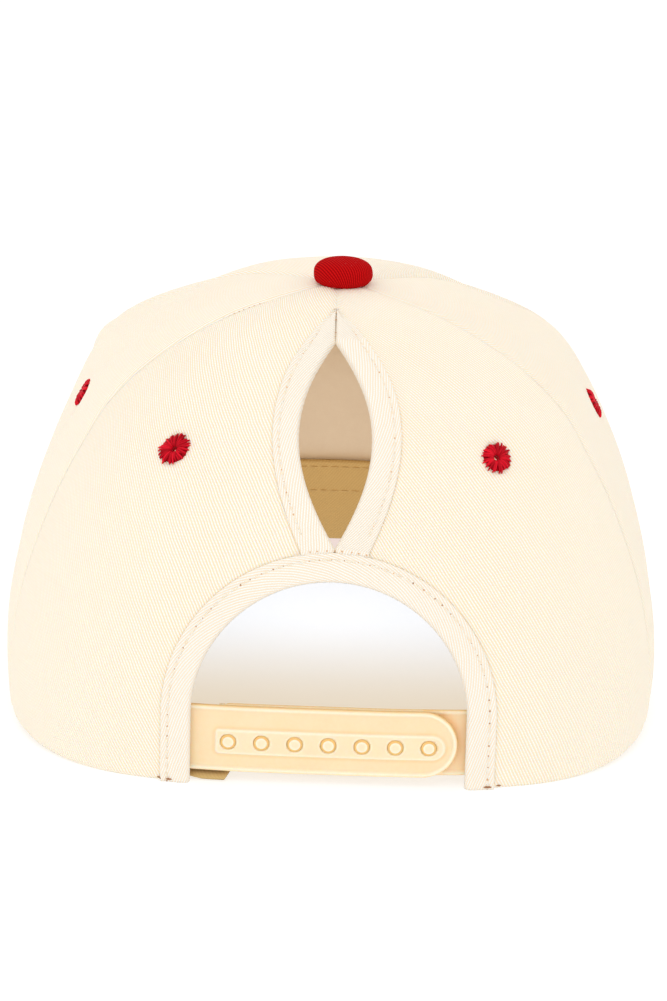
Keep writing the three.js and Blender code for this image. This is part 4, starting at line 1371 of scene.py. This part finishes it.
def mould(work, points, painted_shading):
    """Moves a strap's vertices to points and gives them their painted light and shade as a tint."""
    layer = work.verts.layers.float["tint"]
    for vertex, point, tint in zip(work.verts, points, painted_shading):
        vertex.co = point
        vertex[layer] = tint


def punch(work, x, height, radius):
    """Cuts a round hole into a flat strap: its edge is drawn onto the circle."""
    centre = Vector((x, height, 0))
    lost = [vertex for vertex in work.verts if (vertex.co - centre).length < radius * 0.94]
    bmesh.ops.delete(work, geom=lost, context="VERTS")
    for vertex in work.verts:
        spoke = vertex.co - centre
        if vertex.is_boundary and spoke.length < radius * 1.6:
            vertex.co = centre + spoke.normalized() * radius


class CAP_OT_strap(bpy.types.Operator):
    """Makes both halves of the snap strap"""
    bl_idname = "cap.strap"
    bl_label = "Snap Strap"

    def execute(self, context):
        cap = context.scene.cap
        plan = StrapPlan(cap)
        for make in (self.left_half, self.right_half, self.studs):
            make(plan, plastic(cap.looks))
        return {"FINISHED"}

    def left_half(self, plan, material):
        sizes = plan.sizes
        half = sizes.width / 2
        body = (plan.bend - plan.left_root) / (plan.tip - plan.left_root)

        def plan_of(u, v):
            if u <= body:
                return mix(plan.left_root, plan.bend, u / body), v * sizes.width
            turn = (u - body) / (1 - body) * math.pi / 2
            return plan.bend + half * math.sin(turn), half + (v - 0.5) * sizes.width * math.cos(turn)

        work = strap_sheet(250, 60, plan_of)
        for x in plan.places:
            punch(work, x, plan.middle, sizes.hole)
        x, height = plan_places(work)
        away = plan.from_edge(x, height, True)
        off_track = plan.from_track(x, height)
        relief = plan.rim(away) + sizes.ridge * (1 - smooth(off_track / 0.0005 + 0.5))
        off_holes = [np.hypot(x - hole, height - plan.middle) for hole in plan.places]
        off_hole = np.min(off_holes, axis=0) - sizes.hole
        # Each hole's edge is rounded
        relief -= 0.00012 * (1 - smooth(off_hole / 0.00035))
        # Painted light and shade: the thin raised rim and track and the lip round each hole are painted
        # lighter as highlights; the outer edge, the foot of each step and each hole's edge are painted
        # darker as shade
        painted_shading = 0.5 + 0.1 * (1 - smooth(off_track / 0.0004 + 0.5))
        painted_shading += 0.41 * bell(away - 0.0009, 0.0004)
        painted_shading += 0.35 * bell(off_track + 0.0002, 0.00032)
        painted_shading -= 0.18 * bell(off_track - 0.0005, 0.0004)
        painted_shading -= 0.41 * (1 - smooth(away / 0.0006))
        painted_shading += 0.25 * bell(off_hole - 0.0004, 0.0002)
        painted_shading -= 0.4 * (1 - smooth(off_hole / 0.00025))
        mould(work, plan.point(x, height, -relief), painted_shading)
        piece = mesh_piece("snap_strap_left", work, material, ["strap_left"])
        thicken(piece, sizes.thickness)

    def right_half(self, plan, material):
        sizes = plan.sizes
        half = sizes.width / 2
        span = plan.right_root - plan.hidden_end

        def plan_of(u, v):
            u = u**1.3
            reach = max(1 - u * span / sizes.end_corner, 0)
            narrow = half - sizes.end_corner * (1 - math.sqrt(1 - reach**2))
            return plan.hidden_end + u * span, half + (2 * v - 1) * narrow

        work = strap_sheet(220, 48, plan_of)
        x, height = plan_places(work)
        behind = sizes.thickness + sizes.gap
        away = plan.from_edge(x, height, False)
        low_rim = plan.rim(away) * 0.6
        # Painted light and shade: a painted highlight along the rim and painted shade at the outer edge
        painted_shading = 0.46 + 0.4 * bell(away - 0.0008, 0.0004) - 0.3 * (1 - smooth(away / 0.0005))
        # A soft painted shadow round the left half's tip, which stands in front of this half
        shade = np.hypot(np.maximum(x - plan.bend, 0), height - half) - half
        painted_shading -= 0.22 * bell(shade, 0.0012) * (x > plan.bend)
        painted_shading += 0.03 * np.sin(x * 5200 + 3 * np.sin(x * 900))
        mould(work, plan.point(x, height, behind + sizes.ridge * 0.6 - low_rim), painted_shading)
        piece = mesh_piece("snap_strap_right", work, material, ["strap_right"])
        thicken(piece, sizes.thickness)

    def studs(self, plan, material):
        """The studs: each domed head stands on a collar, the floor of the gap round it."""
        sizes = plan.sizes
        work = tinted_mesh()
        layer = work.verts.layers.float["tint"]
        top = sizes.ridge + sizes.stud_height
        foot = -sizes.gap - sizes.thickness * 1.5
        collar = sizes.ridge - 0.00002
        stud, wide = sizes.stud, sizes.hole - 0.00008
        # Radius, height and tint of each corner, from the head's middle down to the foot. The tint is
        # painted light and shade: a painted highlight on the head's edge, painted shade on the collar in the
        # gap round it
        radii = np.array([
            (0, top - 0.0001, 0.67), (stud * 0.4, top - 0.00008, 0.67), (stud * 0.7, top, 0.8),
            (stud * 0.88, top - 0.00005, 1.0), (stud * 0.98, top - 0.00018, 0.4),
            (stud, collar + 0.00004, -0.6), (stud * 1.1, collar, -0.6),
            (wide, collar, -0.6), (wide, collar - 0.0008, -0.3),
            (stud, foot, 0), (0, foot, 0),
        ])
        for x in plan.places:
            centre = plan.point(np.array(x), np.array(plan.middle), 0.0)
            up = plan.shape.back_normal(np.array(x), np.array(sizes.lift + plan.middle))
            made = spin_outline(work, radii[:, :2], 32)
            for vertex in made:
                vertex[layer] = radii[nearest_corner(radii, vertex.co), 2]
            bmesh.ops.transform(work, matrix=upright(centre, up), verts=made)
        mesh_piece("snap_studs", work, material)


class CAP_OT_sweatband(bpy.types.Operator):
    """Makes the sweatband inside the hem"""
    bl_idname = "cap.sweatband"
    bl_label = "Sweatband"

    def execute(self, context):
        cap = context.scene.cap
        plan = StrapPlan(cap)
        shape, sizes, openings, strap, looks = plan.shape, cap.edges, cap.openings, cap.strap, cap.looks
        right = float(shape.turn_at_x(0, openings.arch_half + sizes.fit + sizes.band_corner))
        left = math.pi - float(shape.turn_at_x(0, openings.arch_half - sizes.band_end))
        deep = plan.depth + 2 * (strap.thickness + strap.gap) + sizes.band_fit
        step_end = openings.arch_half + strap.root + 2 * sizes.fit
        u, v = squares(340, 36)
        turn = mix(right, left, u)
        hem = shape.dome(np.zeros(u.shape), turn)
        x = hem[..., 0]
        behind = hem[..., 1] < 0
        past = step_end + sizes.band_step - np.abs(x)
        near = np.where(behind, smooth(past / sizes.band_step), 0)
        inset = mix(cap.crown.cloth + sizes.band_fit, deep, near)
        on_end = behind & (x < 0)
        tab = np.where(on_end, smooth((openings.arch_half + openings.tape + x) / sizes.band_end), 0)
        top = mix(sizes.band_height, sizes.band_end_height, tab)
        curl = np.where(on_end, np.clip((x - x[:, -1:]) / sizes.band_corner + 1, 0, 1), 0)
        end_lift = 0.0007
        low = mix(sizes.band_lift, end_lift, tab) + sizes.band_corner * curl_in(curl)
        height = mix(low, top, v**1.15)
        # The loose end's lower edge spreads outward under the strap
        spread = tab * (1 - smooth((height - 0.0008) / (strap.lift * 0.9)))
        inset = mix(inset, cap.crown.cloth + 0.0002, spread)
        points = shape.surface(shape.along_at_height(height), turn, inset)
        material = twill_material("tan band cloth", looks.band, looks.band_low, pitch=0.0007,
                                  turn=math.radians(45), sheen=0.05, depth=0.00003, glow=0.0)
        flat = measured_lay(points)
        piece = grid_piece("band_cloth", points, flat, material, ["sweatband"])
        thicken(piece, sizes.band_thickness)
        rows = tinted_mesh()
        turns = np.linspace(right + 0.25, left - 0.25, 1400)
        deep_in = cap.crown.cloth + sizes.band_fit + sizes.band_thickness
        for level in (sizes.band_height - 0.0022, sizes.band_height * 0.62):
            along = shape.along_at_height(np.full(turns.shape, level))
            line = shape.surface(along, turns, deep_in)
            in_front = (np.abs(line[:, 0]) < 0.07) & (line[:, 1] > 0)
            facing = -shape.normal(along, turns)[in_front]
            stitch_row(rows, line[in_front], facing, cap.trim)
        tan = grain_material("tan thread", looks.band, looks.band_low, size=0.0003, depth=0.00004,
                             roughness=0.7)
        mesh_piece("band_stitches", rows, tan)
        return {"FINISHED"}


class BrimPlan:
    """Places on the brim: a share along its root from right to left, and one out to its edge."""

    def __init__(self, cap):
        self.shape, self.sizes, self.crown = CapShape(cap), cap.edges, cap.crown

    def point(self, part, out):
        shape, sizes = self.shape, self.sizes
        part, out = np.broadcast_arrays(np.asarray(part, float), np.asarray(out, float))
        zero = np.zeros(part.shape)
        turn = mix(sizes.brim_turn, math.pi - sizes.brim_turn, part)
        root = shape.dome(zero, turn) + shape.normal(zero, turn) * sizes.fit
        corner = shape.dome(np.array(0.0), np.array(sizes.brim_turn))
        start = corner[1] + sizes.brim_side
        cos, sin = np.cos(math.pi * part), np.sin(math.pi * part)
        reach = square_reach(cos, sin, sizes.brim_square)
        edge = np.stack([
            (corner[0] + sizes.brim_flare) * reach * cos,
            start + (self.crown.front + sizes.brim_length - start) * reach * sin,
            sizes.brim_arch * np.maximum(sin, 0) ** sizes.brim_arch_power,
        ], -1)
        point = mix(root, edge, out[..., None])
        ease = out + sizes.brim_ease * out * (1 - out)
        point[..., 2] = mix(root[..., 2], edge[..., 2], ease)
        return point + shape.axis

    def row_out(self, part, inset):
        """How far out a row of stitches lies that keeps an inset from the edge."""
        reach = np.linalg.norm(self.point(part, 1.0) - self.point(part, 0.0), axis=-1)
        return 1 - inset / np.maximum(reach, 1e-6)


class CAP_OT_brim(bpy.types.Operator):
    """Makes the covered brim and its rows of stitches"""
    bl_idname = "cap.brim"
    bl_label = "Brim"

    def execute(self, context):
        cap = context.scene.cap
        sizes, looks = cap.edges, cap.looks
        plan = BrimPlan(cap)
        u, v = squares(170, 60)
        out = 1 - crowded(1 - v, 0.3)
        part = 1 - crowded(u, 0.25)
        points = plan.point(part, out)
        points[..., 2] += sizes.brim_thickness
        piece = grid_piece("brim_cloth", points, points[..., :2], red_twill(looks), ["brim"])
        thicken(piece, sizes.brim_thickness)
        rounded = piece.modifiers.new("rounded edge", "BEVEL")
        rounded.width = sizes.brim_thickness * 0.35
        rounded.segments = 3
        rounded.limit_method = "ANGLE"
        sewn = bmesh.new()
        for row in range(sizes.brim_rows):
            along = np.linspace(0.02, 0.98, 700)
            out = plan.row_out(along, sizes.brim_edge_row + row * sizes.brim_row_pitch)
            clear = out > 0.08
            if clear.sum() < 2:
                continue
            top = plan.point(along[clear], out[clear])
            top[:, 2] += sizes.brim_thickness
            upward = np.tile([0.0, 0.0, 1.0], (len(top), 1))
            stitch_row(sewn, top, upward, cap.trim)
        thread_red = grain_material("red sewing thread", looks.silk, looks.red_low, size=0.0003,
                                    depth=0.00004, roughness=0.5)
        mesh_piece("brim_stitches", sewn, thread_red)
        return {"FINISHED"}


class CAP_OT_stage(bpy.types.Operator):
    """Makes the floor, the soft light and the camera"""
    bl_idname = "cap.stage"
    bl_label = "Stage"

    def execute(self, context):
        cap = context.scene.cap
        stage, looks = cap.stage, cap.looks
        scene = context.scene
        scene.view_settings.view_transform = "Standard"
        scene.view_settings.look = "None"
        work = bmesh.new()
        bmesh.ops.create_grid(work, x_segments=1, y_segments=1, size=stage.floor_half)
        mesh = bpy.data.meshes.new("floor")
        work.to_mesh(mesh)
        work.free()
        axis = CapShape(cap).axis
        mesh.materials.append(self.floor_material(stage, looks, axis))
        floor = bpy.data.objects.new("floor", mesh)
        scene.collection.objects.link(floor)
        self.light(scene, stage, axis)
        self.camera(scene, stage, axis)
        return {"FINISHED"}

    def floor_material(self, stage, looks, axis):
        """The pale floor, which glows. Inside the cap its glow is painted: dimmer and warmer near the strap
        as a painted shadow, and bluer at the front as a painted pool of light.
        """
        lit = grain_material("floor", looks.floor, looks.floor, size=0.05, depth=0.00001, roughness=0.95,
                             specular=0.0)
        tree = lit.node_tree
        place = add_node(tree, "ShaderNodeTexCoord").outputs["Object"]
        middle = (axis[0], axis[1] + 0.006, 0)
        vector = partial(add_node, tree, "ShaderNodeVectorMath")
        away = vector({0: place, 1: middle}, operation="SUBTRACT").outputs[0]
        far = vector({0: away}, operation="LENGTH").outputs["Value"]
        outside = ramp_node(tree, far, 0.078, 0.086)
        ahead = add_node(tree, "ShaderNodeSeparateXYZ", {0: away}).outputs["Y"]
        front = ramp_node(tree, ahead, -0.046, 0.04, interpolation_type="SMOOTHSTEP")
        # Painted light and shade inside the cap, from the painted strap shadow at the back to the painted
        # light at the front
        inside = mixed(tree, front, stage.glow_painted_strap_shadow, stage.glow_painted_front_light)
        feed(tree, tree.nodes["Principled BSDF"], {
            "Emission Color": mixed(tree, outside, inside, stage.floor_glow),
            "Emission Strength": 1.0,
        })
        return lit

    def light(self, scene, stage, axis):
        world = bpy.data.worlds.new("studio")
        world.use_nodes = True
        background = world.node_tree.nodes["Background"]
        background.inputs["Color"].default_value = (1, 1, 1, 1)
        background.inputs["Strength"].default_value = stage.sky
        scene.world = world
        key = self.lamp(scene, "AREA", "key", stage.key, (-0.35, -0.8, 1.25))
        key.data.shape = "DISK"
        key.data.size = 1.2
        target = Vector((0, 0, 0.06))
        key.rotation_euler = (target - key.location).to_track_quat("-Z", "Y").to_euler()
        # Stands for the light that thin cloth lets into the crown
        inner = self.lamp(scene, "POINT", "inner", stage.inner, (axis[0], axis[1] + 0.04, 0.036))
        inner.data.color = stage.inner_colour
        inner.data.shadow_soft_size = 0.025

    def lamp(self, scene, kind, name, energy, place):
        data = bpy.data.lights.new(name, kind)
        data.energy = energy
        made = bpy.data.objects.new(name, data)
        made.location = place
        scene.collection.objects.link(made)
        return made

    def camera(self, scene, stage, axis):
        data = bpy.data.cameras.new("camera")
        data.lens = stage.lens
        data.sensor_width = 36
        data.shift_x = stage.shift
        data.clip_start, data.clip_end = 0.05, 20
        camera = bpy.data.objects.new("camera", data)
        back = stage.camera_distance * math.cos(stage.camera_elevation)
        height = stage.camera_distance * math.sin(stage.camera_elevation)
        camera.matrix_world = (
            Matrix.Translation((axis[0], axis[1] - back, height))
            @ Matrix.Rotation(math.pi / 2 - stage.camera_pitch, 4, "X")
            @ Matrix.Rotation(stage.camera_roll, 4, "Z")
        )
        scene.collection.objects.link(camera)
        scene.camera = camera


class CAP_PT_sidebar(bpy.types.Panel):
    """Lists the cap's pieces"""
    bl_idname = "CAP_PT_sidebar"
    bl_label = "Ponytail Cap"
    bl_space_type = "VIEW_3D"
    bl_region_type = "UI"
    bl_category = "Cap"

    def draw(self, context):
        cap = context.scene.cap
        for operator in OPERATORS:
            self.layout.operator(operator.bl_idname)
        for part in ("crown", "openings", "trim", "strap", "edges", "looks", "stage"):
            box = self.layout.box()
            box.label(text=part.title())
            group = getattr(cap, part)
            for name in group.bl_rna.properties.keys():
                if name not in ("rna_type", "name"):
                    box.prop(group, name)


GROUPS = (
    CAP_PG_crown, CAP_PG_openings, CAP_PG_trim, CAP_PG_strap, CAP_PG_edges, CAP_PG_looks, CAP_PG_stage,
    CAP_PG_cap,
)
OPERATORS = (
    CAP_OT_stage, CAP_OT_panels, CAP_OT_tapes, CAP_OT_eyelets, CAP_OT_button, CAP_OT_strap,
    CAP_OT_sweatband, CAP_OT_brim,
)


def register():
    for kind in (*GROUPS, *OPERATORS, CAP_PT_sidebar):
        bpy.utils.register_class(kind)
    bpy.types.Scene.cap = PointerProperty(type=CAP_PG_cap)


def unregister():
    del bpy.types.Scene.cap
    for kind in reversed((*GROUPS, *OPERATORS, CAP_PT_sidebar)):
        bpy.utils.unregister_class(kind)


def main():
    register()
    for operator in OPERATORS:
        family, name = operator.bl_idname.split(".")
        getattr(getattr(bpy.ops, family), name)()


if __name__ == "__main__":
    main()
